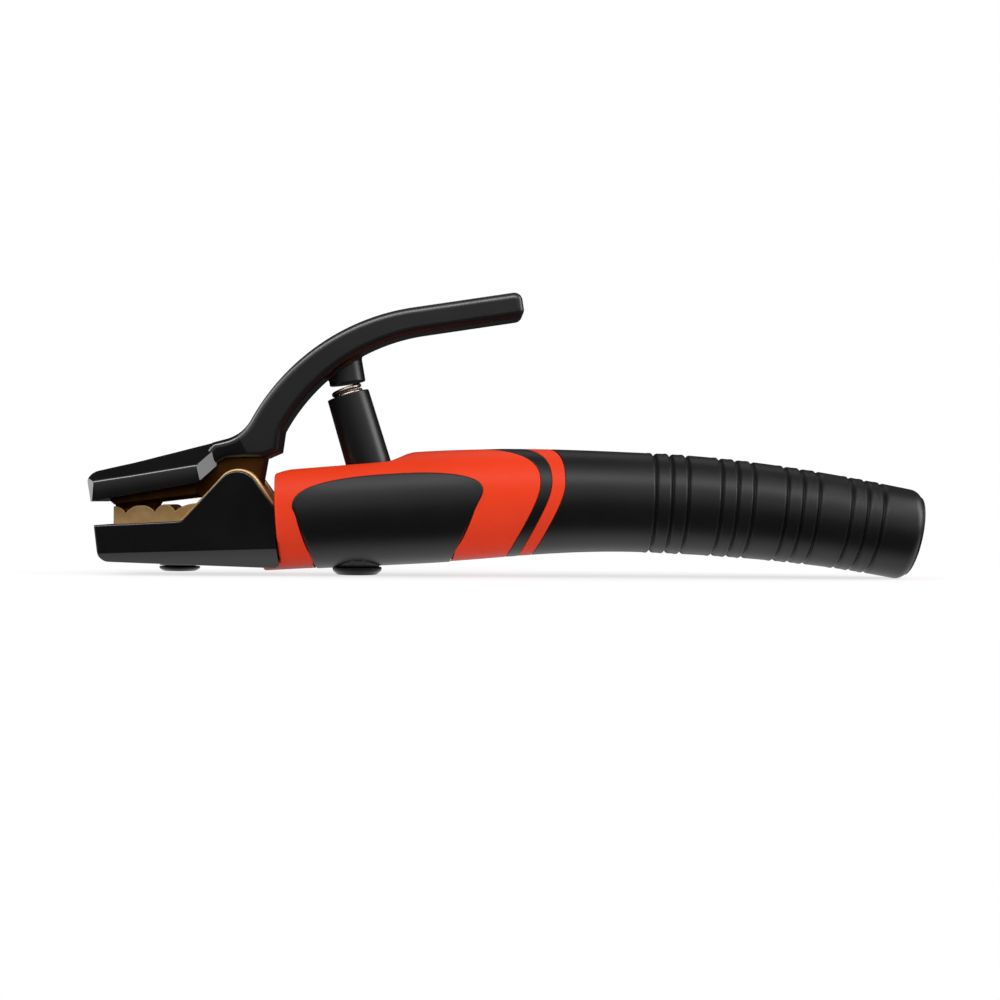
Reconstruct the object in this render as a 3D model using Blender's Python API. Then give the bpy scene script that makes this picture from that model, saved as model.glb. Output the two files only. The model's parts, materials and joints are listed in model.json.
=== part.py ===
"""Welding electrode holder with sprung jaws, modelled piece by piece.

The handle runs along +X, the jaws point to -X, +Z is up, and the origin lies under the middle of the holder.
Outlines are drawn in the XZ plane, lengths are in metres and angles in degrees.
"""

import math

import bmesh
import bpy
from mathutils import Matrix, Vector

# Fits
SEAT_GAP = 0.0003
MOUTH_GAP = 0.0005

# Lever pivot
PIVOT_X = -0.0812
PIVOT_Z = 0.0255
PIN_RADIUS = 0.0030

# Lower jaw cover
COVER_HALF_WIDTH = 0.0150
COVER_WALL = 0.0027
COVER_FLOOR = 0.0038
COVER_BOTTOM_Z = 0.0021
COVER_NOSE_RISE = 0.0019
COVER_NOSE_REACH = 0.0430
COVER_NOSE_WALL = 0.0048
COVER_NOSE_RAKE = 7.0
COVER_NOSE_RADIUS = 0.0030
COVER_RIM_FRONT_Z = 0.0150
COVER_RIM_REAR_Z = 0.0164
COVER_CHAMFER = 0.0052
COVER_CHAMFER_SLOPE = 0.033
COVER_SEAT_Z = 0.0026
EAR_RADIUS = 0.0062
EAR_FRONT_SLOPE = 47.6
EAR_REAR_SLOPE = 53.7

# Lower jaw
CHEEK_THICKNESS = 0.0045
CHEEK_RIM = 0.0007
JAW_BASE_HEIGHT = 0.0082
TEETH_HALF_WIDTH = 0.0100
TEETH_CREST_Z = 0.0207
TEETH_SLOPE = 2.6
TEETH_LENGTH = 0.0256
TOOTH_STEPS = (0.12, 0.28, 0.5, 0.72, 0.88, 1.0)
TOOTH_POWER = 2.5
NOTCH_DEPTH = 0.0021
NOTCH_FIRST = 0.0037
NOTCH_STEPS = (0.00876, 0.0061)
TANG_HALF_WIDTH = 0.0085
TANG_HEIGHT = 0.0090
TANG_DROP = 0.0068
TANG_REACH = 0.0060
NECK_RADIUS = 0.0115
NECK_LENGTH = 0.0395
SOCKET_RADIUS = 0.0110
SOCKET_LENGTH = 0.0250
SOCKET_BORE = 0.0075

# Cable clamp in the socket
CABLE_SCREW_RADIUS = 0.0030
CABLE_SCREW_LENGTH = 0.0060
CABLE_SCREW_SETBACK = 0.0070
CABLE_SCREW_PITCH = 0.0110
CLAMP_PLATE_HALF_WIDTH = 0.0054
CLAMP_PLATE_THICKNESS = 0.0010
CLAMP_PLATE_LENGTH = 0.0210

# Upper jaw
TONGUE_HALF_WIDTH = 0.0100
TONGUE_LEAD = 0.0011
TONGUE_LENGTH = 0.0251
TONGUE_SLOPE = 7.6
TONGUE_HEIGHT = 0.0050
TONGUE_TIP_CHAMFER = 0.0013
HUB_RADIUS = 0.0062
HUB_ARC = (225, 380)
HUB_OVERLAP = 0.0020
HUB_INSET = 0.0006
ARM_HALF_WIDTH = 0.0055
ARM_HALF_THICKNESS = 0.0025
ARM_TAIL_SETBACK = 0.0180

# Upper jaw cover
ROOF_HALF_WIDTH = 0.0140
ROOF_NOSE_LEAD = 0.0015
ROOF_NOSE_RADIUS = 0.0040
ROOF_NOSE_LIFT = 0.0018
ROOF_LOWER_SLOPE = 7.2
ROOF_NOSE_HEIGHT = 0.0078
ROOF_TOP_SLOPE = 15.3
ROOF_SHOULDER_HEIGHT = 0.0047
ROOF_SHOULDER_SLOPE = 9.9
ROOF_PITCH = 34.5
ROOF_REAR_REACH = 0.0071
ROOF_REAR_TAPER = 34.0
ROOF_EAR_GAP = 0.0027
ROOF_STEP = 0.0002
NECK_OVERLAP = 0.00748
COLLAR_ANGLES = (112, 125)

# Lever
LEVER_HALF_WIDTH = 0.0088
LEVER_ROOT_THICKNESS = 0.0100
LEVER_TAIL_THICKNESS = 0.0080
LEVER_BEND_RADIUS = 0.0640
LEVER_CENTRE_REACH = 0.0642
LEVER_CENTRE_DROP = 0.0100
LEVER_RISE_ANGLE = 61.0
LEVER_TAIL_ANGLE = 9.0
LEVER_TAIL_LENGTH = 0.0324
LEVER_ROOT_LENGTH = 0.0063
LEVER_HEEL_REACH = 0.0122
LEVER_HEEL_RISE = 0.0123
LEVER_EDGE = 0.0022
LEVER_END_RADIUS = 0.0024
THROAT_RADIUS = 0.0120
SPLIT_REACH = 0.0030
SPLIT_RISE = 0.0101
SPLIT_SLOPE = 118.4

# Spring and its guard
SEAT_DISTANCE = 0.0297
SEAT_HEIGHT = 0.0080
SEAT_FLAT_LENGTH = 0.0195
GUARD_LEAN = 17.0
GUARD_RADIUS = 0.0070
GUARD_TOP_RADIUS = 0.0066
GUARD_BORE = 0.0059
GUARD_HEIGHT = 0.0288
GUARD_FLOOR_DEPTH = 0.0020
GUARD_EDGE = 0.0010
BALL_REACH = 84
BOSS_RADIUS = 0.0052
BOSS_GAP = 0.0033
BOSS_OFFSET = 0.0009
BOSS_LEAN = 7.0
BOSS_LENGTH = 0.0100
SPRING_WIRE = 0.0015
SPRING_RADIUS = 0.0041
SPRING_TURNS = 10
SPRING_POINTS_PER_TURN = 9
SPRING_TOP_GAP = 0.0010
WASHER_RADIUS = 0.0055
WASHER_BORE = 0.0025
WASHER_THICKNESS = 0.0010

# Handle
HANDLE_FRONT_X = -0.0697
HANDLE_FRONT_Z = 0.0184
HANDLE_PITCH = 3.5
HANDLE_STRAIGHT = 0.0648
HANDLE_BEND_RADIUS = 0.515
HANDLE_LENGTH = 0.1985
HANDLE_FRONT_RADIUS = 0.0170
HANDLE_BELLY_RADIUS = 0.0173
HANDLE_BELLY_AT = 0.0450
HANDLE_WAIST_RADIUS = 0.0155
HANDLE_WAIST_AT = 0.1150
HANDLE_END_RADIUS = 0.0142
HANDLE_RIM_EDGE = 0.0010
HANDLE_END_EDGE = 0.0034
CABLE_BORE = 0.0088
FLAT_HEIGHT = 0.0137
FLAT_SLOPE = 5.0
FLAT_LENGTH = 0.0342
FLAT_RAMP_SLOPE = 27.0
LIP_REACH = 0.0060
LIP_THICKNESS = 0.0017
LIP_SPREAD = 32.0
TUBE_SLOT_GAP = 0.0006

# Soft grip
PAD_THICKNESS = 0.0020
PAD_PROUD = 0.0002
PAD_FRONT = 0.0106
PAD_FRONT_SWEEP = 0.0053
PAD_REAR = 0.0523
PAD_REAR_SWEEP = 0.0096
PAD_SIDE_ANGLE = 6.0
PAD_CREST_ANGLE = 38.0
PAD_CREST_POWER = 2.4
STRIPE_DEPTH = 0.0016
STRIPE_APEX_ANGLE = 23.0
STRIPE_SOFTNESS = 0.0045
BAND_FRONT_SETBACK = 0.0075
BAND_FRONT_ARCH = 0.0100
BAND_FRONT_SWEEP = 0.66
BAND_REAR_SETBACK = 0.0040
BAND_REAR_ARCH = 0.0048
BAND_REAR_SWEEP = 0.64
SLEEVE_FRONT = 0.0878
SLEEVE_ARCH = 0.0019
SLEEVE_SWEEP = 0.63
SLEEVE_THICKNESS = 0.0024
SLEEVE_END_INSET = 0.0017
RIB_GROUPS = 4
RIB_GROOVES = 3
RIB_GROOVE_PITCH = 0.0049
RIB_FIRST = 0.1155
RIB_END_MARGIN = 0.0132
RIB_DEPTH = 0.0005
RIB_WIDTH = 0.0018

# Screws
COVER_SCREW_SETBACK = 0.0237
COVER_SCREW_HEAD_RADIUS = 0.0062
COVER_SCREW_RADIUS = 0.0025
COVER_SCREW_LENGTH = 0.0100
COVER_SCREW_LOW_Z = 0.0009
HANDLE_SCREW_AT = 0.0240
HANDLE_SCREW_HEAD_RADIUS = 0.0076
HANDLE_SCREW_HEAD_HEIGHT = 0.0024
HANDLE_SCREW_RADIUS = 0.0040
HANDLE_SCREW_LENGTH = 0.0130
HEAD_FLAT_SHARE = 0.77
HEAD_EDGE_SHARE = 0.55
SOCKET_KEY_RADIUS = 0.0024
SOCKET_KEY_DEPTH = 0.0012
ROOF_SCREW_SETBACK = 0.0155
ROOF_SCREW_HEAD_RADIUS = 0.0034
ROOF_SCREW_RADIUS = 0.0018
ROOF_SCREW_LENGTH = 0.0105

# Facets
AROUND_HANDLE = 36
AROUND_TUBE = 28
AROUND_SCREW = 20
ARC_STEPS = 10
BALL_ROWS = 14
RING_STEP = 0.0150
SMOOTH_ANGLE = 30
WELD_DISTANCE = 2e-6

PIVOT = (PIVOT_X, PIVOT_Z)
OVERCUT = 0.0100


# Outlines in the XZ plane

def polar(centre, radius, degrees):
    angle = math.radians(degrees)
    return (centre[0] + radius * math.cos(angle), centre[1] + radius * math.sin(angle))


def arc(centre, radius, start, end, steps):
    return [polar(centre, radius, start + (end - start) * i / steps) for i in range(steps + 1)]


def at_height(point, degrees, z):
    """Point where the line through a point at a slope reaches height z."""
    return (point[0] + (z - point[1]) / math.tan(math.radians(degrees)), z)


def at_x(point, degrees, x):
    """Point where the line through a point at a slope reaches x."""
    return (x, point[1] + (x - point[0]) * math.tan(math.radians(degrees)))


def crossing(point, degrees, other, other_degrees):
    """Point where two sloped lines meet."""
    slope = math.tan(math.radians(degrees))
    other_slope = math.tan(math.radians(other_degrees))
    x = (other[1] - point[1] + slope * point[0] - other_slope * other[0]) / (slope - other_slope)
    return at_x(point, degrees, x)


def room_beside(corner, neighbour):
    """Most of a side that a corner's arc may use: less than half where both ends are round."""
    share = 0.45 if neighbour[2] else 0.95
    return share * math.dist(corner[:2], neighbour[:2])


def rounded(corners, steps=4):
    """Outline through (x, z, radius) corners, each with an arc of its radius where it has one."""
    outline = []
    for i, (x, z, radius) in enumerate(corners):
        corner = Vector((x, z))
        if radius == 0:
            outline.append((x, z))
            continue
        previous = corners[i - 1]
        following = corners[(i + 1) % len(corners)]
        before = Vector(previous[:2]) - corner
        after = Vector(following[:2]) - corner
        half = before.angle(after) / 2
        room = min(room_beside(corners[i], previous), room_beside(corners[i], following))
        reach = min(radius / math.tan(half), room)
        start = corner + before.normalized() * reach
        end = corner + after.normalized() * reach
        for k in range(steps + 1):
            t = k / steps
            outline.append(tuple(start * (1 - t) ** 2 + corner * 2 * t * (1 - t) + end * t ** 2))
    return outline


# Solids

def prism(outline, low, high):
    """Solid between y = low and y = high over an outline in XZ."""
    body = bmesh.new()
    base = body.faces.new([body.verts.new((x, low, z)) for x, z in outline])
    moved = bmesh.ops.extrude_face_region(body, geom=[base])["geom"]
    top = [item for item in moved if isinstance(item, bmesh.types.BMVert)]
    bmesh.ops.translate(body, verts=top, vec=(0, high - low, 0))
    bmesh.ops.recalc_face_normals(body, faces=body.faces)
    return body


def soften_sides(body, offset):
    """Round the edges that border the two outer Y faces of a prism."""
    reach = max(abs(vert.co.y) for vert in body.verts)
    edges = [
        edge for edge in body.edges
        if all(abs(abs(vert.co.y) - reach) < 1e-6 for vert in edge.verts)
        and edge.verts[0].co.y * edge.verts[1].co.y > 0
    ]
    bmesh.ops.bevel(
        body, geom=edges, offset=offset, segments=2, profile=0.5, affect="EDGES", clamp_overlap=True
    )


def plane_cut(body, point, normal):
    """Keep the side of the plane that its normal points away from, and close the cut."""
    everything = list(body.verts) + list(body.edges) + list(body.faces)
    bmesh.ops.bisect_plane(
        body, geom=everything, dist=1e-7, plane_co=point, plane_no=normal, clear_outer=True
    )
    open_edges = [edge for edge in body.edges if edge.is_boundary]
    bmesh.ops.holes_fill(body, edges=open_edges, sides=0)
    bmesh.ops.recalc_face_normals(body, faces=body.faces)


def loft(rings, closed):
    """Skin through rings of equal counts: a closed tube wall, or a solid with flat ends."""
    body = bmesh.new()
    rows = [[body.verts.new(point) for point in ring] for ring in rings]
    pairs = list(zip(rows, rows[1:]))
    if closed:
        pairs.append((rows[-1], rows[0]))
    else:
        body.faces.new(rows[0])
        body.faces.new(rows[-1])
    for lower, upper in pairs:
        for k in range(len(lower)):
            after = (k + 1) % len(lower)
            body.faces.new((lower[k], lower[after], upper[after], upper[k]))
    bmesh.ops.recalc_face_normals(body, faces=body.faces)
    return body


def turned(profile, sides, place):
    """Solid of revolution about local Z from (radius, height) points, with flat ends."""
    rings = []
    for radius, height in profile:
        angles = [2 * math.pi * k / sides for k in range(sides)]
        rings.append([place @ Vector((radius * math.cos(a), radius * math.sin(a), height)) for a in angles])
    return loft(rings, closed=False)


def rod(start, end, radius, sides=AROUND_SCREW):
    """Round bar between two points."""
    start, end = Vector(start), Vector(end)
    turn = (end - start).to_track_quat("Z", "Y").to_matrix().to_4x4()
    place = Matrix.Translation(start) @ turn
    return turned([(radius, 0), (radius, (end - start).length)], sides, place)


def ball(centre, radius):
    body = bmesh.new()
    bmesh.ops.create_uvsphere(body, u_segments=AROUND_TUBE, v_segments=BALL_ROWS, radius=radius)
    bmesh.ops.translate(body, verts=body.verts, vec=centre)
    return body


def hidden_object(body):
    mesh = bpy.data.meshes.new("working")
    body.to_mesh(mesh)
    body.free()
    holder = bpy.data.objects.new("working", mesh)
    bpy.context.scene.collection.objects.link(holder)
    return holder


def combine(body, tool, operation):
    """Boolean of two solids, as a new solid."""
    target = hidden_object(body)
    helper = hidden_object(tool)
    change = target.modifiers.new("combine", "BOOLEAN")
    change.operation = operation
    change.solver = "EXACT"
    change.object = helper
    result = bmesh.new()
    result.from_object(target, bpy.context.evaluated_depsgraph_get())
    for used in (target, helper):
        mesh = used.data
        bpy.data.objects.remove(used)
        bpy.data.meshes.remove(mesh)
    bmesh.ops.remove_doubles(result, verts=result.verts, dist=WELD_DISTANCE)
    bmesh.ops.dissolve_degenerate(result, edges=result.edges, dist=WELD_DISTANCE / 2)
    return result


def cut(body, *tools):
    for tool in tools:
        body = combine(body, tool, "DIFFERENCE")
    return body


def join(body, *tools):
    for tool in tools:
        body = combine(body, tool, "UNION")
    return body


# Materials, bodies and nodes

def finish(name, colour, roughness, metallic=0.0):
    material = bpy.data.materials.new(name)
    material.use_nodes = True
    shader = material.node_tree.nodes["Principled BSDF"]
    shader.inputs["Base Color"].default_value = (*colour, 1.0)
    shader.inputs["Roughness"].default_value = roughness
    shader.inputs["Metallic"].default_value = metallic
    material.diffuse_color = (*colour, 1.0)
    return material


def body_empty(name, origin, parent=None):
    """Empty on a joint's axis that carries the pieces of one moving body."""
    empty = bpy.data.objects.new(name, None)
    bpy.context.scene.collection.objects.link(empty)
    empty["origin"] = tuple(origin)
    empty.location = origin
    if parent:
        empty.parent = parent
        empty.location = Vector(origin) - Vector(parent["origin"])
    return empty


def add_piece(name, body, material, carrier):
    """Finished node whose own origin lies on its carrier's axis."""
    bmesh.ops.translate(body, verts=body.verts, vec=-Vector(carrier["origin"]))
    mesh = bpy.data.meshes.new(name)
    body.to_mesh(mesh)
    body.free()
    mesh.shade_smooth()
    mesh.set_sharp_from_angle(angle=math.radians(SMOOTH_ANGLE))
    mesh.materials.append(material)
    piece = bpy.data.objects.new(name, mesh)
    bpy.context.scene.collection.objects.link(piece)
    piece.parent = carrier
    return piece


# Handle axis and surface

def handle_frame(distance):
    """Centre and slope of the handle's axis at a distance behind its front rim."""
    pitch = math.radians(HANDLE_PITCH)
    straight = min(distance, HANDLE_STRAIGHT)
    turn = max(distance - HANDLE_STRAIGHT, 0) / HANDLE_BEND_RADIUS
    slope = pitch - turn
    x = HANDLE_FRONT_X + straight * math.cos(pitch)
    z = HANDLE_FRONT_Z + straight * math.sin(pitch)
    x += HANDLE_BEND_RADIUS * (math.sin(pitch) - math.sin(slope))
    z += HANDLE_BEND_RADIUS * (math.cos(slope) - math.cos(pitch))
    return x, z, slope


def handle_point(distance, around, radius):
    """Point at an angle round the handle's axis: 0 faces -Y, a quarter turn is on top."""
    x, z, slope = handle_frame(distance)
    up = radius * math.sin(around)
    return Vector((x - up * math.sin(slope), -radius * math.cos(around), z + up * math.cos(slope)))


def handle_radius(distance):
    stations = (
        (0.0, HANDLE_FRONT_RADIUS),
        (HANDLE_BELLY_AT, HANDLE_BELLY_RADIUS),
        (HANDLE_WAIST_AT, HANDLE_WAIST_RADIUS),
        (HANDLE_LENGTH, HANDLE_END_RADIUS),
    )
    for (start, first), (end, last) in zip(stations, stations[1:]):
        if distance <= end:
            t = max(0.0, (distance - start) / (end - start))
            return first + (last - first) * t * t * (3 - 2 * t)
    return HANDLE_END_RADIUS


def handle_angles():
    return [2 * math.pi * (k + 0.5) / AROUND_HANDLE - math.pi for k in range(AROUND_HANDLE)]


def skin_ring(along, inset):
    """Ring a depth under the handle's skin; along gives its distance at each angle."""
    ring = []
    for around in handle_angles():
        distance = along(around)
        ring.append(handle_point(distance, around, handle_radius(distance) - inset))
    return ring


def bore_ring(along, radius):
    return [handle_point(along(around), around, radius) for around in handle_angles()]


def level(distance):
    return lambda around: distance


def stations_between(first, last, step):
    count = max(1, math.ceil((last - first) / step))
    return [first + (last - first) * k / count for k in range(count + 1)]


def stripe_edge(apex, arch, sweep, shift=0.0):
    """Chevron edge round the handle: it arches forward over the top and sweeps forward below its apex."""
    apex_angle = math.radians(STRIPE_APEX_ANGLE)

    def edge(around):
        lean = math.asin(math.sin(around))
        over = max(0.0, lean - apex_angle)
        drop = max(0.0, math.sin(apex_angle) - math.sin(lean)) * handle_radius(apex)
        below = math.hypot(STRIPE_SOFTNESS, sweep * drop) - STRIPE_SOFTNESS
        return apex - arch * over ** 2 - below + shift
    return edge


def band_front(shift=0.0):
    return stripe_edge(SLEEVE_FRONT - BAND_FRONT_SETBACK, BAND_FRONT_ARCH, BAND_FRONT_SWEEP, shift)


def band_rear(shift=0.0):
    return stripe_edge(SLEEVE_FRONT - BAND_REAR_SETBACK, BAND_REAR_ARCH, BAND_REAR_SWEEP, shift)


def sleeve_front(shift=0.0):
    return stripe_edge(SLEEVE_FRONT, SLEEVE_ARCH, SLEEVE_SWEEP, shift)


def lip_front(shift=0.0):
    """Front edge of the shell's rim: a round tongue reaches forward under the jaw cover."""
    def edge(around):
        off = (math.degrees(around) + 90) / LIP_SPREAD
        return shift - LIP_REACH * max(0.0, 1 - off * off)
    return edge


def rim_x(z, gap):
    """X of the plane that lies a gap in front of the handle's front rim."""
    slope = math.radians(HANDLE_PITCH)
    return HANDLE_FRONT_X - (z - HANDLE_FRONT_Z) * math.tan(slope) - gap / math.cos(slope)


# Shared places

def cheek_outer():
    return COVER_HALF_WIDTH - COVER_WALL - SEAT_GAP


def cheek_inner():
    return cheek_outer() - CHEEK_THICKNESS


def hub_half_width():
    return cheek_inner() - SEAT_GAP


def cover_floor_z():
    return COVER_BOTTOM_Z + COVER_FLOOR


def jaw_front_x():
    return PIVOT_X - COVER_NOSE_REACH + COVER_NOSE_WALL + SEAT_GAP


def roof_nose_x():
    return PIVOT_X - COVER_NOSE_REACH - ROOF_NOSE_LEAD


def roof_rear_x():
    return PIVOT_X - ROOF_REAR_REACH


def cover_screw_x():
    return PIVOT_X - COVER_NOSE_REACH + COVER_SCREW_SETBACK


def handle_screw_x():
    return handle_frame(HANDLE_SCREW_AT)[0]


def seat_centre():
    """Middle of the ball seat in the jaw's neck, where the guard tube rocks."""
    x, z, slope = handle_frame(SEAT_DISTANCE)
    return (x - SEAT_HEIGHT * math.sin(slope), z + SEAT_HEIGHT * math.cos(slope))


def lever_centre():
    return (PIVOT_X + LEVER_CENTRE_REACH, PIVOT_Z - LEVER_CENTRE_DROP)


def lever_path(root, tail):
    """Lever's mid line from its root to its tail as pairs of point and slope."""
    centre = lever_centre()
    rise = LEVER_RISE_ANGLE
    bend_start = polar(centre, LEVER_BEND_RADIUS, 90 + rise)
    bend_end = polar(centre, LEVER_BEND_RADIUS, 90 + LEVER_TAIL_ANGLE)
    path = [(polar(bend_start, root, 180 + rise), rise)]
    for k in range(ARC_STEPS + 1):
        slope = rise + (LEVER_TAIL_ANGLE - rise) * k / ARC_STEPS
        path.append((polar(centre, LEVER_BEND_RADIUS, 90 + slope), slope))
    path.append((polar(bend_end, tail, LEVER_TAIL_ANGLE), LEVER_TAIL_ANGLE))
    return path


def lever_half_thickness(slope):
    share = (LEVER_RISE_ANGLE - slope) / (LEVER_RISE_ANGLE - LEVER_TAIL_ANGLE)
    return (LEVER_ROOT_THICKNESS + (LEVER_TAIL_THICKNESS - LEVER_ROOT_THICKNESS) * share) / 2


def guard_place():
    """Frame of the guard tube: the ball seat's middle, with Z along the leaning tube."""
    seat = seat_centre()
    lean = Matrix.Rotation(-math.radians(GUARD_LEAN), 4, "Y")
    return Matrix.Translation((seat[0], 0, seat[1])) @ lean


def teeth_z(x):
    """Crest line of the lower teeth."""
    return TEETH_CREST_Z + (x - jaw_front_x()) * math.tan(math.radians(TEETH_SLOPE))


def tongue_z(x):
    """Underside of the upper jaw's tongue, a mouth gap above the first of the lower teeth."""
    rise = (x - jaw_front_x()) * math.tan(math.radians(TONGUE_SLOPE))
    return TEETH_CREST_Z + MOUTH_GAP + rise


def roof_lower_z(x):
    """Lower edge of the upper jaw cover's nose."""
    base = TEETH_CREST_Z + MOUTH_GAP + ROOF_NOSE_LIFT
    return base + (x - roof_nose_x()) * math.tan(math.radians(ROOF_LOWER_SLOPE))


def roof_top_z(x):
    """Top line of the upper jaw cover's nose."""
    base = roof_lower_z(roof_nose_x()) + ROOF_NOSE_HEIGHT
    return base + (x - roof_nose_x()) * math.tan(math.radians(ROOF_TOP_SLOPE))


def collar_radius():
    """Distance from the pivot to the upper jaw cover's lower edge over the ears."""
    return EAR_RADIUS + CHEEK_RIM + ROOF_EAR_GAP


def roof_flank():
    """Top and foot of the upper jaw cover's edge along the front of the ears."""
    top = polar(PIVOT, collar_radius(), 90 + EAR_FRONT_SLOPE)
    nose = (roof_nose_x(), roof_lower_z(roof_nose_x()))
    return top, crossing(top, EAR_FRONT_SLOPE, nose, ROOF_LOWER_SLOPE)


# Lower jaw and its cover

def ear_outline(radius, rear_gap, foot_z, front):
    """Round ear over the pivot with straight flanks, down to a foot; front leads into it."""
    start = polar(PIVOT, radius, 90 + EAR_FRONT_SLOPE)
    end = polar(PIVOT, radius, 90 - EAR_REAR_SLOPE)
    rear = at_x(end, -EAR_REAR_SLOPE, rim_x(PIVOT_Z, rear_gap))
    rear = at_x(end, -EAR_REAR_SLOPE, rim_x(rear[1], rear_gap))
    outline = list(front(start))
    outline += arc(PIVOT, radius, 90 + EAR_FRONT_SLOPE, 90 - EAR_REAR_SLOPE, ARC_STEPS)
    outline += [rear, (rim_x(foot_z, rear_gap), foot_z)]
    return outline


def cover_front(start):
    """Nose and rim of the lower cover, from the front of its floor to the foot of the ear."""
    nose_x = PIVOT_X - COVER_NOSE_REACH
    bottom = COVER_BOTTOM_Z + COVER_NOSE_RISE
    rake = math.tan(math.radians(COVER_NOSE_RAKE))
    toe = (nose_x + (COVER_RIM_FRONT_Z - bottom) * rake, bottom)
    foot = at_height(start, EAR_FRONT_SLOPE, COVER_RIM_REAR_Z)
    rim = (nose_x, COVER_RIM_FRONT_Z)
    rear = (rim_x(COVER_BOTTOM_Z, SEAT_GAP), COVER_BOTTOM_Z, 0)
    return rounded([rear, (*toe, COVER_NOSE_RADIUS), (*rim, 0), (*foot, 0)])[1:]


def lower_jaw_cover():
    outline = ear_outline(EAR_RADIUS, SEAT_GAP, COVER_BOTTOM_Z, cover_front)
    body = prism(outline, -COVER_HALF_WIDTH, COVER_HALF_WIDTH)
    for side in (-1, 1):
        corner = (cover_screw_x(), side * COVER_HALF_WIDTH, COVER_BOTTOM_Z + COVER_CHAMFER)
        plane_cut(body, corner, Vector((COVER_CHAMFER_SLOPE, side, -1)).normalized())
    floor = cover_floor_z()
    inside = cheek_outer() + SEAT_GAP
    channel = [
        (jaw_front_x() - SEAT_GAP, floor),
        (HANDLE_FRONT_X + OVERCUT, floor),
        (HANDLE_FRONT_X + OVERCUT, PIVOT_Z + OVERCUT),
        (jaw_front_x() - SEAT_GAP, PIVOT_Z + OVERCUT),
    ]
    below = (cover_screw_x(), 0, 0)
    seat = (cover_screw_x(), 0, COVER_SEAT_Z)
    through = (cover_screw_x(), 0, floor + OVERCUT)
    body = join(body, rod(seat, (cover_screw_x(), 0, floor), COVER_SCREW_HEAD_RADIUS))
    return cut(
        body,
        prism(channel, -inside, inside),
        rod(below, through, COVER_SCREW_RADIUS + SEAT_GAP),
        lip_relief(),
    )


def lip_relief():
    """Space under the lower cover for the tongue of the shell's rim."""
    depth = LIP_THICKNESS + SEAT_GAP
    edge = lip_front(-SEAT_GAP)
    rings = [
        skin_ring(edge, depth),
        skin_ring(edge, -OVERCUT),
        skin_ring(level(OVERCUT), -OVERCUT),
        skin_ring(level(OVERCUT), depth),
    ]
    return loft(rings, closed=True)


def teeth_outline():
    """Scalloped gripping edge with V notches, over a foot inside the jaw's base."""
    front = jaw_front_x()
    rear = front + TEETH_LENGTH
    notches = [front + NOTCH_FIRST]
    for step in NOTCH_STEPS:
        notches.append(notches[-1] + step)
    outline = [(front, cover_floor_z() + JAW_BASE_HEIGHT / 2), (front, teeth_z(front))]
    edges = [2 * front - notches[0]] + notches + [2 * rear - notches[-1]]
    for start, end in zip(edges, edges[1:]):
        for t in TOOTH_STEPS:
            x = start + (end - start) * t
            sag = NOTCH_DEPTH * abs(2 * t - 1) ** TOOTH_POWER
            if front < x < rear:
                outline.append((x, teeth_z(x) - sag))
    outline += [(rear, teeth_z(rear)), (rear, outline[0][1])]
    return outline


def cheek_front(start):
    foot_z = cover_floor_z() + JAW_BASE_HEIGHT / 2
    return [at_height(start, EAR_FRONT_SLOPE, foot_z)]


def neck():
    """Round neck and cable socket along the handle's axis, with the cable bore."""
    end = NECK_LENGTH + SOCKET_LENGTH
    rings = [
        bore_ring(level(SEAT_GAP), NECK_RADIUS),
        bore_ring(level(NECK_LENGTH), NECK_RADIUS),
        bore_ring(level(NECK_LENGTH), SOCKET_RADIUS),
        bore_ring(level(end), SOCKET_RADIUS),
    ]
    bore = [bore_ring(level(NECK_LENGTH), SOCKET_BORE), bore_ring(level(end + OVERCUT), SOCKET_BORE)]
    return cut(loft(rings, closed=False), loft(bore, closed=False))


def seat_flat():
    """Space over the flat on top of the neck, just under the middle of the ball seat."""
    seat = seat_centre()
    rear = seat[0] + SEAT_FLAT_LENGTH / 2
    front = seat[0] - SEAT_FLAT_LENGTH / 2
    low = seat[1] - SEAT_GAP
    high = seat[1] + OVERCUT
    return prism([(front, low), (rear, low), (rear, high), (front, high)], -OVERCUT * 2, OVERCUT * 2)


def cable_screw_span(number):
    """Outer and inner end of a grub screw on the handle's upper side."""
    distance = NECK_LENGTH + CABLE_SCREW_SETBACK + number * CABLE_SCREW_PITCH
    top = SOCKET_RADIUS - SEAT_GAP
    above = math.pi / 2
    return handle_point(distance, above, top), handle_point(distance, above, top - CABLE_SCREW_LENGTH)


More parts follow.
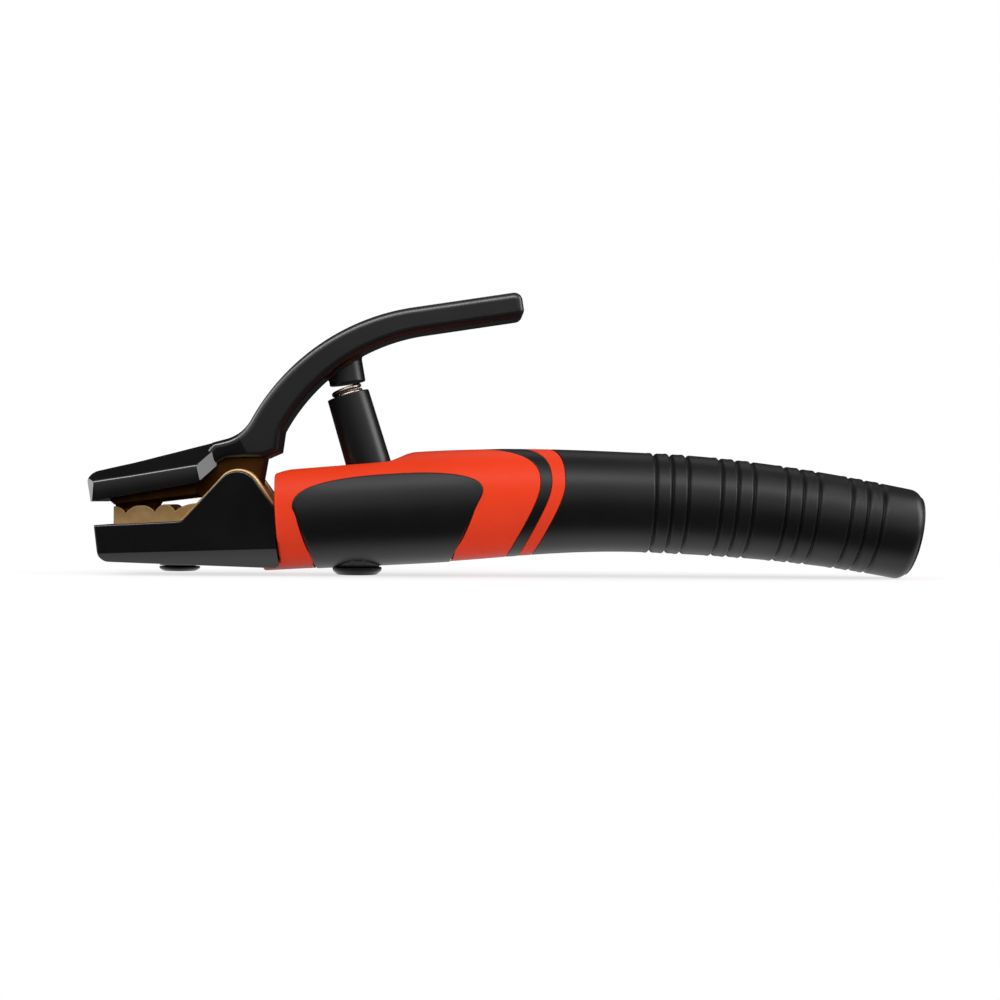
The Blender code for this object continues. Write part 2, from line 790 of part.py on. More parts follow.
def lower_jaw():
    front = jaw_front_x()
    low = cover_floor_z() + SEAT_GAP
    high = low + JAW_BASE_HEIGHT
    foot_z = cover_floor_z() + JAW_BASE_HEIGHT / 2
    base = [(front, low), (rim_x(low, SEAT_GAP), low), (rim_x(high, SEAT_GAP), high), (front, high)]
    body = prism(base, -cheek_outer(), cheek_outer())
    cheek = ear_outline(EAR_RADIUS + CHEEK_RIM, SEAT_GAP, foot_z, cheek_front)
    tang_x = HANDLE_FRONT_X - TANG_REACH / 2
    tang_low = HANDLE_FRONT_Z - TANG_DROP
    tang_high = tang_low + TANG_HEIGHT
    tang_end = HANDLE_FRONT_X + TANG_REACH
    tang = [(tang_x, tang_low), (tang_end, tang_low), (tang_end, tang_high), (tang_x, tang_high)]
    body = join(
        body,
        prism(teeth_outline(), -TEETH_HALF_WIDTH, TEETH_HALF_WIDTH),
        prism(cheek, cheek_inner(), cheek_outer()),
        prism(cheek, -cheek_outer(), -cheek_inner()),
        prism(tang, -TANG_HALF_WIDTH, TANG_HALF_WIDTH),
        neck(),
    )
    seat = seat_centre()
    across = cheek_outer() + OVERCUT
    cover_hole = COVER_SEAT_Z + COVER_SCREW_LENGTH + SEAT_GAP
    handle_hole = HANDLE_SCREW_HEAD_HEIGHT + HANDLE_SCREW_LENGTH + SEAT_GAP
    body = cut(
        body,
        seat_flat(),
        ball((seat[0], 0, seat[1]), GUARD_RADIUS + SEAT_GAP),
        rod((PIVOT_X, -across, PIVOT_Z), (PIVOT_X, across, PIVOT_Z), PIN_RADIUS + SEAT_GAP),
        rod((cover_screw_x(), 0, 0), (cover_screw_x(), 0, cover_hole), COVER_SCREW_RADIUS + SEAT_GAP),
        rod((handle_screw_x(), 0, 0), (handle_screw_x(), 0, handle_hole), HANDLE_SCREW_RADIUS + SEAT_GAP),
    )
    for number in range(2):
        outer, inner = cable_screw_span(number)
        outward = (outer - inner).normalized() * OVERCUT
        body = cut(body, rod(outer + outward, inner, CABLE_SCREW_RADIUS + SEAT_GAP))
    return body


def cable_clamp_plate():
    """Flat strip across the cable bore, under the grub screws."""
    start = NECK_LENGTH + CABLE_SCREW_SETBACK - (CLAMP_PLATE_LENGTH - CABLE_SCREW_PITCH) / 2
    top = SOCKET_RADIUS - CABLE_SCREW_LENGTH - 2 * SEAT_GAP
    low = top - CLAMP_PLATE_THICKNESS
    half = CLAMP_PLATE_HALF_WIDTH
    rings = []
    for distance in (start, start + CLAMP_PLATE_LENGTH):
        x, z, slope = handle_frame(distance)
        ring = []
        for y, height in ((-half, top), (half, top), (half, low), (-half, low)):
            ring.append((x - height * math.sin(slope), y, z + height * math.cos(slope)))
        rings.append(ring)
    return loft(rings, closed=False)


# Upper jaw, its cover and the lever

def arm_outline(gap):
    """Strip along the lever's mid line; its root ends inside the hub plate."""
    half = ARM_HALF_THICKNESS + gap
    path = lever_path(LEVER_ROOT_LENGTH, LEVER_TAIL_LENGTH - ARM_TAIL_SETBACK + gap)
    upper = [polar(point, half, 90 + slope) for point, slope in path]
    lower = [polar(point, half, slope - 90) for point, slope in path]
    return upper + lower[::-1]


def hub_outline(gap):
    """Plate between the cheeks: from the tongue round the pivot and up into the lever."""
    front = jaw_front_x() + TONGUE_LENGTH - HUB_OVERLAP
    radius = HUB_RADIUS + gap
    root, slope = lever_path(LEVER_ROOT_LENGTH, LEVER_TAIL_LENGTH)[0]
    half = ARM_HALF_THICKNESS + HUB_INSET + gap
    heel = polar(root, half, slope - 90)
    crown = polar(root, half, slope + 90)
    outline = [(front, tongue_z(front) + HUB_INSET - gap)]
    outline += arc(PIVOT, radius, *HUB_ARC, ARC_STEPS)
    outline += [heel, polar(heel, ARM_HALF_THICKNESS, slope), polar(crown, ARM_HALF_THICKNESS, slope), crown]
    outline.append((front, tongue_z(front) + TONGUE_HEIGHT - HUB_INSET + gap))
    return outline


def tongue_outline(gap):
    front = jaw_front_x() - TONGUE_LEAD - gap
    rear = jaw_front_x() + TONGUE_LENGTH + gap
    tip = TONGUE_TIP_CHAMFER
    return [
        (front, tongue_z(front) + tip),
        (front + tip, tongue_z(front + tip)),
        (rear, tongue_z(rear)),
        (rear, tongue_z(rear) + TONGUE_HEIGHT + gap),
        (front, tongue_z(front) + TONGUE_HEIGHT + gap),
    ]


def roof_screw_span():
    """Head and tip of the screw through the top of the upper jaw cover."""
    x = roof_nose_x() + ROOF_SCREW_SETBACK
    lean = math.radians(ROOF_TOP_SLOPE)
    head = Vector((x, 0, roof_top_z(x)))
    down = Vector((math.sin(lean), 0, -math.cos(lean)))
    return head + down * SEAT_GAP, down


def roof_screw(gap, overrun):
    """Countersunk screw, or its hole when it has a gap and an overrun past both ends."""
    head, down = roof_screw_span()
    place = Matrix.Translation(head) @ down.to_track_quat("Z", "Y").to_matrix().to_4x4()
    sink = ROOF_SCREW_HEAD_RADIUS - ROOF_SCREW_RADIUS
    profile = [
        (ROOF_SCREW_HEAD_RADIUS + gap, -overrun),
        (ROOF_SCREW_HEAD_RADIUS + gap, gap),
        (ROOF_SCREW_RADIUS + gap, sink + gap),
        (ROOF_SCREW_RADIUS + gap, ROOF_SCREW_LENGTH + gap),
    ]
    if overrun == 0:
        profile.pop(1)
    return turned(profile, AROUND_SCREW, place)


def upper_jaw():
    half = hub_half_width()
    across = half + OVERCUT
    body = join(
        prism(hub_outline(0), -half, half),
        prism(tongue_outline(0), -TONGUE_HALF_WIDTH, TONGUE_HALF_WIDTH),
        prism(arm_outline(0), -ARM_HALF_WIDTH, ARM_HALF_WIDTH),
    )
    return cut(
        body,
        rod((PIVOT_X, -across, PIVOT_Z), (PIVOT_X, across, PIVOT_Z), PIN_RADIUS + SEAT_GAP),
        roof_screw(SEAT_GAP, OVERCUT),
    )


def roof_nose_outline():
    nose = roof_nose_x()
    rear = roof_rear_x()
    flank, foot = roof_flank()
    return rounded([
        (nose, roof_lower_z(nose), 0),
        (nose, roof_top_z(nose), ROOF_NOSE_RADIUS),
        (rear, roof_top_z(rear), 0),
        (*at_x(flank, EAR_FRONT_SLOPE, rear), 0),
        (*foot, 0),
    ])


def lever_outline():
    """Side view of the lever with the neck of the upper jaw cover, before a joint parts them."""
    path = lever_path(0, LEVER_TAIL_LENGTH)[1:]
    upper = [polar(point, lever_half_thickness(slope), 90 + slope) for point, slope in path]
    lower = [polar(point, lever_half_thickness(slope), slope - 90) for point, slope in path]
    start_x = roof_rear_x() - NECK_OVERLAP
    start = (start_x, roof_top_z(start_x) - ROOF_STEP)
    throat = crossing(start, ROOF_TOP_SLOPE, upper[0], LEVER_RISE_ANGLE)
    heel = (PIVOT_X + LEVER_HEEL_REACH, PIVOT_Z + LEVER_HEEL_RISE)
    split = (PIVOT_X + SPLIT_REACH, PIVOT_Z + SPLIT_RISE)
    flank, foot = roof_flank()
    corners = [(start_x, roof_lower_z(start_x) + ROOF_STEP, 0), (*start, 0), (*throat, THROAT_RADIUS)]
    corners += [(x, z, 0) for x, z in upper[:-1]]
    corners += [(*upper[-1], LEVER_END_RADIUS), (*lower[-1], LEVER_END_RADIUS)]
    corners += [(x, z, 0) for x, z in lower[-2::-1]]
    corners += [(*heel, 0), (*split, 0)]
    corners += [(*polar(PIVOT, collar_radius(), angle), 0) for angle in COLLAR_ANGLES]
    corners += [(*flank, 0), (*foot, 0)]
    return rounded(corners)


def lever_half(side):
    """Lever side (1) or cover side (-1) of the joint across the lever's root."""
    body = prism(lever_outline(), -LEVER_HALF_WIDTH, LEVER_HALF_WIDTH)
    soften_sides(body, LEVER_EDGE)
    lean = math.radians(SPLIT_SLOPE - 90)
    normal = Vector((math.cos(lean), 0, math.sin(lean))) * side
    point = Vector((PIVOT_X + SPLIT_REACH, 0, PIVOT_Z + SPLIT_RISE)) + normal * SEAT_GAP / 2
    plane_cut(body, point, -normal)
    return body


def upper_jaw_cover():
    nose = roof_nose_x()
    rear = roof_rear_x()
    body = prism(roof_nose_outline(), -ROOF_HALF_WIDTH, ROOF_HALF_WIDTH)
    rise = math.tan(math.radians(ROOF_SHOULDER_SLOPE))
    pitch = math.tan(math.radians(ROOF_PITCH))
    taper = math.radians(ROOF_REAR_TAPER)
    shoulder_z = roof_lower_z(nose) + ROOF_SHOULDER_HEIGHT
    for side in (-1, 1):
        shoulder = (nose, side * ROOF_HALF_WIDTH, shoulder_z)
        plane_cut(body, shoulder, Vector((-rise, side * pitch, 1)).normalized())
        waist = (rear, side * LEVER_HALF_WIDTH, shoulder_z)
        plane_cut(body, waist, Vector((math.cos(taper), side * math.sin(taper), 0)))
    tongue = tongue_outline(SEAT_GAP)
    tongue_room = tongue[3:] + [(tongue[0][0], -OVERCUT), (tongue[3][0], -OVERCUT)]
    side_room = TONGUE_HALF_WIDTH + SEAT_GAP
    hub_room = hub_half_width() + SEAT_GAP
    return cut(
        join(body, lever_half(-1)),
        prism(tongue_room, -side_room, side_room),
        prism(hub_outline(SEAT_GAP), -hub_room, hub_room),
        roof_screw(SEAT_GAP, OVERCUT),
    )


def boss():
    """Round foot under the lever that presses on the spring."""
    low = Matrix.Translation((BOSS_OFFSET, 0, GUARD_HEIGHT + BOSS_GAP))
    place = guard_place() @ low @ Matrix.Rotation(math.radians(BOSS_LEAN), 4, "Y")
    return turned([(BOSS_RADIUS, 0), (BOSS_RADIUS, BOSS_LENGTH)], AROUND_TUBE, place)


def lever_sleeve():
    arm_room = ARM_HALF_WIDTH + SEAT_GAP
    hub_room = hub_half_width() + SEAT_GAP
    return cut(
        join(lever_half(1), boss()),
        prism(arm_outline(SEAT_GAP), -arm_room, arm_room),
        prism(hub_outline(SEAT_GAP), -hub_room, hub_room),
    )


# Spring, guard and washer, along the guard's axis

def guard_tube():
    """Tube with a ball end that rocks in the jaw's neck."""
    ball_steps = 6
    profile = []
    for k in range(ball_steps + 1):
        angle = math.radians(BALL_REACH * (k / ball_steps - 1))
        profile.append((GUARD_RADIUS * math.cos(angle), GUARD_RADIUS * math.sin(angle)))
    profile += [
        (GUARD_TOP_RADIUS, GUARD_HEIGHT - GUARD_EDGE),
        (GUARD_TOP_RADIUS - GUARD_EDGE / 2, GUARD_HEIGHT),
        (GUARD_BORE, GUARD_HEIGHT),
        (GUARD_BORE, -GUARD_FLOOR_DEPTH),
    ]
    return turned(profile, AROUND_TUBE, guard_place())


def washer_low():
    return SEAT_GAP - GUARD_FLOOR_DEPTH


def spring_seat_washer():
    low = washer_low()
    high = low + WASHER_THICKNESS
    place = guard_place()
    outer = turned([(WASHER_RADIUS, low), (WASHER_RADIUS, high)], AROUND_TUBE, place)
    hole = [(WASHER_BORE, low - OVERCUT), (WASHER_BORE, high + OVERCUT)]
    return cut(outer, turned(hole, AROUND_TUBE, place))


def spring_points():
    """Wire's mid line in the guard's own frame: straight ends, then the curls."""
    low = washer_low() + WASHER_THICKNESS + SEAT_GAP
    high = GUARD_HEIGHT + BOSS_GAP - SPRING_TOP_GAP
    end_run = SPRING_WIRE
    ease = SPRING_WIRE
    first = low + end_run + ease
    last = high - end_run - ease
    steps = SPRING_TURNS * SPRING_POINTS_PER_TURN
    points = [(SPRING_RADIUS, 0.0, low), (SPRING_RADIUS, 0.0, low + end_run)]
    for k in range(1, steps):
        angle = 2 * math.pi * k / SPRING_POINTS_PER_TURN
        x = SPRING_RADIUS * math.cos(angle)
        y = SPRING_RADIUS * math.sin(angle)
        points.append((x, y, first + (last - first) * k / steps))
    points += [(SPRING_RADIUS, 0.0, high - end_run), (SPRING_RADIUS, 0.0, high)]
    return [Vector(point) for point in points]


def least_spring_gap(points):
    """Smallest clear space between wire stretches that are more than half a turn apart."""
    apart = SPRING_POINTS_PER_TURN // 2 + 1
    nearest = min(
        (points[i] - points[j]).length
        for i in range(len(points))
        for j in range(i + apart, len(points))
    )
    return nearest - SPRING_WIRE


def spring(material, carrier):
    """One unbroken round wire wound by formula."""
    points = spring_points()
    print(f"spring: least gap between curls {least_spring_gap(points) * 1000:.2f} mm")
    curve = bpy.data.curves.new("spring", "CURVE")
    curve.dimensions = "3D"
    curve.bevel_depth = SPRING_WIRE / 2
    curve.bevel_resolution = 1
    curve.use_fill_caps = True
    line = curve.splines.new("POLY")
    line.points.add(len(points) - 1)
    place = Matrix.Translation(-Vector(carrier["origin"])) @ guard_place()
    for target, point in zip(line.points, points):
        target.co = (*(place @ point), 1.0)
    curve.materials.append(material)
    wire = bpy.data.objects.new("spring", curve)
    bpy.context.scene.collection.objects.link(wire)
    wire.parent = carrier


# Handle shell and soft grip

def flat_cutter():
    """Space over the flat on top of the shell, with a ramp at its rear."""
    x, z, slope = handle_frame(0)
    start = (x - OVERCUT, z + FLAT_HEIGHT - OVERCUT * math.tan(math.radians(FLAT_SLOPE)))
    end = at_x(start, FLAT_SLOPE, x + FLAT_LENGTH)
    high = z + HANDLE_BELLY_RADIUS + OVERCUT
    ramp = at_height(end, FLAT_RAMP_SLOPE, high)
    return prism([start, end, ramp, (start[0], high)], -OVERCUT * 2, OVERCUT * 2)


def tube_slot():
    """Slot in the shell's flat that the guard tube rocks in."""
    seat = seat_centre()
    lean = math.radians(GUARD_LEAN)
    reach = HANDLE_FRONT_Z + HANDLE_BELLY_RADIUS - seat[1]
    half = GUARD_RADIUS / math.cos(lean) + TUBE_SLOT_GAP
    front = seat[0] - reach * math.tan(lean)
    rear = seat[0] + TUBE_SLOT_GAP
    outline = arc((front, 0), half, 90, 270, ARC_STEPS) + arc((rear, 0), half, -90, 90, ARC_STEPS)
    low = [Vector((x, y, seat[1] - SEAT_GAP)) for x, y in outline]
    top = [Vector((x, y, seat[1] + 2 * OVERCUT)) for x, y in outline]
    return loft([low, top], closed=False)


def handle_shell():
    end = HANDLE_LENGTH - HANDLE_RIM_EDGE
    cavity = NECK_RADIUS + SEAT_GAP
    cavity_end = NECK_LENGTH + SOCKET_LENGTH + SEAT_GAP
    lip_inner = LIP_THICKNESS
    groove = STRIPE_DEPTH
    step = SLEEVE_THICKNESS
    rings = [
        bore_ring(level(0), cavity),
        skin_ring(level(0), lip_inner + SEAT_GAP),
        skin_ring(lip_front(), lip_inner),
        skin_ring(lip_front(), HANDLE_RIM_EDGE),
        skin_ring(lip_front(HANDLE_RIM_EDGE), 0),
    ]
    rings += [skin_ring(level(s), 0) for s in stations_between(RING_STEP, 4 * RING_STEP, RING_STEP)]
    rings += [
        skin_ring(band_front(), 0),
        skin_ring(band_front(), groove),
        skin_ring(band_rear(), groove),
        skin_ring(band_rear(), 0),
        skin_ring(sleeve_front(), 0),
        skin_ring(sleeve_front(), step),
    ]
    behind = SLEEVE_FRONT + 2 * SLEEVE_THICKNESS
    rings += [skin_ring(level(s), step) for s in stations_between(behind, end, RING_STEP)]
    rings += [bore_ring(level(s), CABLE_BORE) for s in reversed(stations_between(cavity_end, end, RING_STEP))]
    rings.append(bore_ring(level(cavity_end), cavity))
    body = loft(rings, closed=True)
    screw_x = handle_screw_x()
    return cut(
        body,
        flat_cutter(),
        tube_slot(),
        pad_patch(SEAT_GAP, PAD_THICKNESS + SEAT_GAP, -OVERCUT / 4),
        rod((screw_x, 0, -OVERCUT), (screw_x, 0, HANDLE_FRONT_Z), HANDLE_SCREW_RADIUS + SEAT_GAP),
    )


def pad_patch(grow, floor, top):
    """Saddle wrapped round the handle's underside, between two depths under its skin."""
    along_steps = 16
    side_steps = 9
    grids = {floor: [], top: []}
    for i in range(along_steps + 1):
        w = -math.cos(math.pi * i / along_steps)
        bulge = max(0.0, 1 - abs(w) ** PAD_CREST_POWER) ** (1 / PAD_CREST_POWER)
        crest = PAD_SIDE_ANGLE + (PAD_CREST_ANGLE - PAD_SIDE_ANGLE) * bulge
        spread = math.radians(crest + 90) + grow / HANDLE_BELLY_RADIUS
        for depth, grid in grids.items():
            row = []
            for j in range(-side_steps, side_steps + 1):
                v = j / side_steps
                first = PAD_FRONT - PAD_FRONT_SWEEP * v * v - grow
                last = PAD_REAR + PAD_REAR_SWEEP * abs(v) + grow
                distance = first + (last - first) * (w + 1) / 2
                radius = handle_radius(distance) - depth
                row.append(handle_point(distance, v * spread - math.pi / 2, radius))
            grid.append(row)
    rings = [outer + inner[::-1] for outer, inner in zip(grids[top], grids[floor])]
    return loft_strip(rings)


def loft_strip(rings):
    """Solid through flat rings, whose two ends are closed by a strip of quads."""
    body = bmesh.new()
    rows = [[body.verts.new(point) for point in ring] for ring in rings]
    count = len(rows[0])
    for lower, upper in zip(rows, rows[1:]):
        for k in range(count):
            after = (k + 1) % count
            body.faces.new((lower[k], lower[after], upper[after], upper[k]))
    for row in (rows[0], rows[-1]):
        for k in range(count // 2 - 1):
            body.faces.new((row[k], row[k + 1], row[count - 2 - k], row[count - 1 - k]))
    bmesh.ops.recalc_face_normals(body, faces=body.faces)
    return body


def grip_pad():
    """Saddle with a moulded foot, flat below, that the handle screw's head seats on."""
    x = handle_screw_x()
    _, axis_z, _ = handle_frame(HANDLE_SCREW_AT)
    seat_z = HANDLE_SCREW_HEAD_HEIGHT + SEAT_GAP
    inner_z = axis_z - handle_radius(HANDLE_SCREW_AT) + 2 * PAD_THICKNESS
    foot = rod((x, 0, seat_z), (x, 0, inner_z), HANDLE_SCREW_HEAD_RADIUS)
    body = join(pad_patch(0, 2 * PAD_THICKNESS, -PAD_PROUD), foot)
    core_ends = (PAD_FRONT - PAD_FRONT_SWEEP - OVERCUT, PAD_REAR + PAD_REAR_SWEEP + OVERCUT)
    core = [skin_ring(level(s), PAD_THICKNESS) for s in stations_between(*core_ends, RING_STEP)]
    hole = rod((x, 0, -OVERCUT), (x, 0, axis_z), HANDLE_SCREW_RADIUS + SEAT_GAP)
    spot_face = rod((x, 0, -OVERCUT), (x, 0, seat_z), HANDLE_SCREW_HEAD_RADIUS + SEAT_GAP)
    return cut(body, loft(core, closed=False), hole, spot_face)


def grip_band():
    inner = STRIPE_DEPTH - SEAT_GAP
    rings = [
        skin_ring(band_front(SEAT_GAP), inner),
        skin_ring(band_front(SEAT_GAP), 0),
        skin_ring(band_rear(-SEAT_GAP), 0),
        skin_ring(band_rear(-SEAT_GAP), inner),
    ]
    return loft(rings, closed=True)


def groove_places():
    """Distances of the grooves, in groups spread evenly up to a margin before the handle's end."""
    group_length = (RIB_GROOVES - 1) * RIB_GROOVE_PITCH
    group_pitch = (HANDLE_LENGTH - RIB_END_MARGIN - group_length - RIB_FIRST) / (RIB_GROUPS - 1)
    for group in range(RIB_GROUPS):
        for groove in range(RIB_GROOVES):
            yield RIB_FIRST + group * group_pitch + groove * RIB_GROOVE_PITCH


def grip_sleeve():
    """Soft rear grip with groups of round grooves and a rolled end."""
    inner = SLEEVE_THICKNESS - SEAT_GAP
    behind = SLEEVE_FRONT + 2 * SLEEVE_THICKNESS
    rings = [skin_ring(sleeve_front(SEAT_GAP), inner), skin_ring(sleeve_front(SEAT_GAP), 0)]
    rings.append(skin_ring(level(behind), 0))
    for place in groove_places():
        rings += [
            skin_ring(level(place - RIB_WIDTH / 2), 0),
            skin_ring(level(place), RIB_DEPTH),
            skin_ring(level(place + RIB_WIDTH / 2), 0),
        ]
    edge_steps = 3
    for k in range(edge_steps + 1):
        angle = math.pi / 2 * k / edge_steps
        inset = HANDLE_END_EDGE * (1 - math.cos(angle))
        back = HANDLE_LENGTH - HANDLE_END_EDGE * (1 - math.sin(angle))
        rings.append(skin_ring(level(back), min(inset, SLEEVE_END_INSET)))
    stations = stations_between(behind, HANDLE_LENGTH, RING_STEP)
    rings += [skin_ring(level(s), inner) for s in reversed(stations)]
    return loft(rings, closed=True)


# Screws and pin

def headed_screw(x, low, head_height, head_radius, radius, length):
    """Low round head under a shank, with a hexagon socket in its underside."""
    place = Matrix.Translation((x, 0, low))
    flat = head_radius * HEAD_FLAT_SHARE
    head = [(flat, 0), (head_radius, head_height * HEAD_EDGE_SHARE), (head_radius, head_height)]
    shank = [(radius, head_height), (radius, head_height + length)]
    body = turned(head + shank, AROUND_SCREW, place)
    key = [(SOCKET_KEY_RADIUS, -OVERCUT), (SOCKET_KEY_RADIUS, SOCKET_KEY_DEPTH)]
    return cut(body, turned(key, 6, place))


def pivot_pin():
    reach = cheek_outer()
    return rod((PIVOT_X, -reach, PIVOT_Z), (PIVOT_X, reach, PIVOT_Z), PIN_RADIUS)


def cable_screw(number):
    outer, inner = cable_screw_span(number)
    return rod(inner, outer, CABLE_SCREW_RADIUS)


def settle(root):
    """Move the whole holder so that the origin lies under its middle, on the bench."""
    bpy.context.view_layer.update()
    depsgraph = bpy.context.evaluated_depsgraph_get()
    corners = []
    for piece in bpy.context.scene.objects:
        if piece.type == "EMPTY":
            continue
        solid = piece.evaluated_get(depsgraph)
        mesh = solid.to_mesh()
        corners += [solid.matrix_world @ vert.co for vert in mesh.vertices]
        solid.to_mesh_clear()
    low_x = min(corner.x for corner in corners)
    high_x = max(corner.x for corner in corners)
    low_z = min(corner.z for corner in corners)
    root.location = (-(low_x + high_x) / 2, 0, -low_z)
    bpy.context.view_layer.update()


def build():
    for old in list(bpy.data.objects):
        bpy.data.objects.remove(old)
    brass = finish("brass", (0.47, 0.25, 0.09), 0.38, 1.0)
    copper = finish("copper", (0.60, 0.24, 0.12), 0.35, 1.0)
    steel = finish("spring_steel", (0.55, 0.53, 0.52), 0.30, 1.0)
    zinc = finish("black_zinc", (0.02, 0.02, 0.02), 0.45, 0.6)
    bakelite = finish("gloss_black_moulding", (0.006, 0.006, 0.007), 0.22)
    lever_black = finish("matte_black_moulding", (0.016, 0.016, 0.017), 0.42)
    red = finish("red_moulding", (0.80, 0.07, 0.02), 0.38)
    soft_black = finish("soft_black_grip", (0.014, 0.014, 0.015), 0.55)
    fibre = finish("fibre_washer", (0.22, 0.10, 0.05), 0.8)

    holder = body_empty("holder_origin", (0, 0, 0))
    lever = body_empty("lever_axis", (PIVOT_X, 0, PIVOT_Z), holder)
    seat = seat_centre()
    guard = body_empty("guard_axis", (seat[0], 0, seat[1]), holder)

    add_piece("lower_jaw", lower_jaw(), brass, holder)
    add_piece("lower_jaw_cover", lower_jaw_cover(), bakelite, holder)
    cover_head = COVER_SEAT_Z - SEAT_GAP - COVER_SCREW_LOW_Z
    cover_screw = headed_screw(
        cover_screw_x(), COVER_SCREW_LOW_Z, cover_head, COVER_SCREW_HEAD_RADIUS, COVER_SCREW_RADIUS,
        COVER_SCREW_LENGTH,
    )
    add_piece("lower_cover_screw", cover_screw, zinc, holder)
    add_piece("pivot_pin", pivot_pin(), steel, holder)
    add_piece("handle_shell", handle_shell(), red, holder)
    add_piece("grip_pad", grip_pad(), soft_black, holder)
    add_piece("grip_band", grip_band(), soft_black, holder)
    add_piece("grip_sleeve", grip_sleeve(), soft_black, holder)
    handle_screw = headed_screw(
        handle_screw_x(), 0, HANDLE_SCREW_HEAD_HEIGHT, HANDLE_SCREW_HEAD_RADIUS, HANDLE_SCREW_RADIUS,
        HANDLE_SCREW_LENGTH,
    )
    add_piece("handle_screw", handle_screw, zinc, holder)
    add_piece("cable_screw_front", cable_screw(0), steel, holder)
    add_piece("cable_screw_rear", cable_screw(1), steel, holder)
    add_piece("cable_clamp_plate", cable_clamp_plate(), copper, holder)
    add_piece("upper_jaw", upper_jaw(), brass, lever)
    add_piece("upper_jaw_cover", upper_jaw_cover(), bakelite, lever)
    add_piece("lever_sleeve", lever_sleeve(), lever_black, lever)
    add_piece("upper_cover_screw", roof_screw(0, 0), zinc, lever)
    add_piece("spring_guard_tube", guard_tube(), bakelite, guard)
    add_piece("spring_seat_washer", spring_seat_washer(), fibre, guard)
    spring(steel, guard)
    settle(holder)


build()
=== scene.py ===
"""Looks of a welding electrode holder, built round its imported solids.

Lengths are in metres and angles in degrees. Side views are (x, z) pairs counted from the lever's pivot.
"""

import json
import logging
import math
from collections.abc import Callable, Sequence
from dataclasses import dataclass, field
from enum import Enum

import bmesh
import bpy
from mathutils import Matrix, Vector


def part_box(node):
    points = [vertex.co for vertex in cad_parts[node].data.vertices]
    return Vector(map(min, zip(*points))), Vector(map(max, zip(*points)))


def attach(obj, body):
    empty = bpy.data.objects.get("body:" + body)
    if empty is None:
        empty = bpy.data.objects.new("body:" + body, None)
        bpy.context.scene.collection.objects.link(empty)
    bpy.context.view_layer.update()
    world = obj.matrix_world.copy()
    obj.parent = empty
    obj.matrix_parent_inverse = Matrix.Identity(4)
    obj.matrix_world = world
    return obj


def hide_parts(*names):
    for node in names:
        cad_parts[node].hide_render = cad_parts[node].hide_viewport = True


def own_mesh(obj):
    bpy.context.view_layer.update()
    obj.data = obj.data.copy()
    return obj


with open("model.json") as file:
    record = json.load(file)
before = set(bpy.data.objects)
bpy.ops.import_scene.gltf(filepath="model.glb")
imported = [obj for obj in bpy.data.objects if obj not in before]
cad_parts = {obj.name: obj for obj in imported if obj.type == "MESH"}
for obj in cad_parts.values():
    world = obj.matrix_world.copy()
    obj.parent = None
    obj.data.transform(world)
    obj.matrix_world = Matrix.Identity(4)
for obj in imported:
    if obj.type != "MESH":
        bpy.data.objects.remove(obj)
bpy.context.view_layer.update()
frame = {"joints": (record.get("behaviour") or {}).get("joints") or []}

LOG = logging.getLogger("electrode_holder")

Pair = tuple[float, float]
Corner = tuple[float, float, float]
Ring = list[Vector]
Along = Callable[[float], float]
Piece = bpy.types.Object

JOINTS = {joint["name"]: joint for joint in frame["joints"]}
PIVOT = Vector(JOINTS["lever_squeeze"]["pos_m"])
SEAT = Vector(JOINTS["guard_rock"]["pos_m"])

# Running and tight clearances, reach of a cutter past what it cuts, and distance at which points merge
SEAT_GAP = 0.0003
TIGHT_GAP = 0.00006
OVERCUT = 0.0100
WELD = 2e-7
# Round edge of cast brass
CAST_EDGE = 0.0003
# Guard tube, which the handle's slot, the lever's boss and the spring follow
GUARD_RADIUS = 0.0070
GUARD_LEAN = 17.0
# Facets round a whole turn
AROUND_HANDLE = 128
AROUND_TUBE = 64
AROUND_SCREW = 48
AROUND_KEY = 6
# Edges that turn less than this are shaded smooth
SMOOTH_ANGLE = 32
# Part of a normal along Y that marks the side of a plate
SIDE_ON = 0.99


class Body(str, Enum):
    """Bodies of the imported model."""

    HOLDER = "holder"
    LEVER = "lever"
    GUARD = "guard"


class Slot(str, Enum):
    """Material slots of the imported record."""

    BRASS = "jaw_brass"
    COPPER = "clamp_copper"
    STEEL = "spring_steel"
    SCREW = "screw_black"
    COVER = "cover_black"
    LEVER = "lever_black"
    RED = "handle_red"
    GRIP = "grip_black"
    FIBRE = "fibre"


class Ends(Enum):
    """How a skin through rings is closed."""

    FLAT = "flat ends"
    JOINED = "last ring joined to the first"


class Operation(str, Enum):
    """What a Boolean modifier does with its tool."""

    CUT = "DIFFERENCE"
    JOIN = "UNION"


# Side views

def polar(centre: Pair, radius: float, degrees: float) -> Pair:
    """Point at a radius and an angle from a centre."""
    angle = math.radians(degrees)
    return (centre[0] + radius * math.cos(angle), centre[1] + radius * math.sin(angle))


def arc(centre: Pair, radius: float, start: float, end: float, steps: int) -> list[Pair]:
    """Points along an arc, both ends included."""
    return [polar(centre, radius, start + (end - start) * i / steps) for i in range(steps + 1)]


def at_height(point: Pair, degrees: float, z: float) -> Pair:
    """Point where the line through a point at a slope reaches a height."""
    return (point[0] + (z - point[1]) / math.tan(math.radians(degrees)), z)


def at_x(point: Pair, degrees: float, x: float) -> Pair:
    """Point where the line through a point at a slope reaches x."""
    return (x, point[1] + (x - point[0]) * math.tan(math.radians(degrees)))


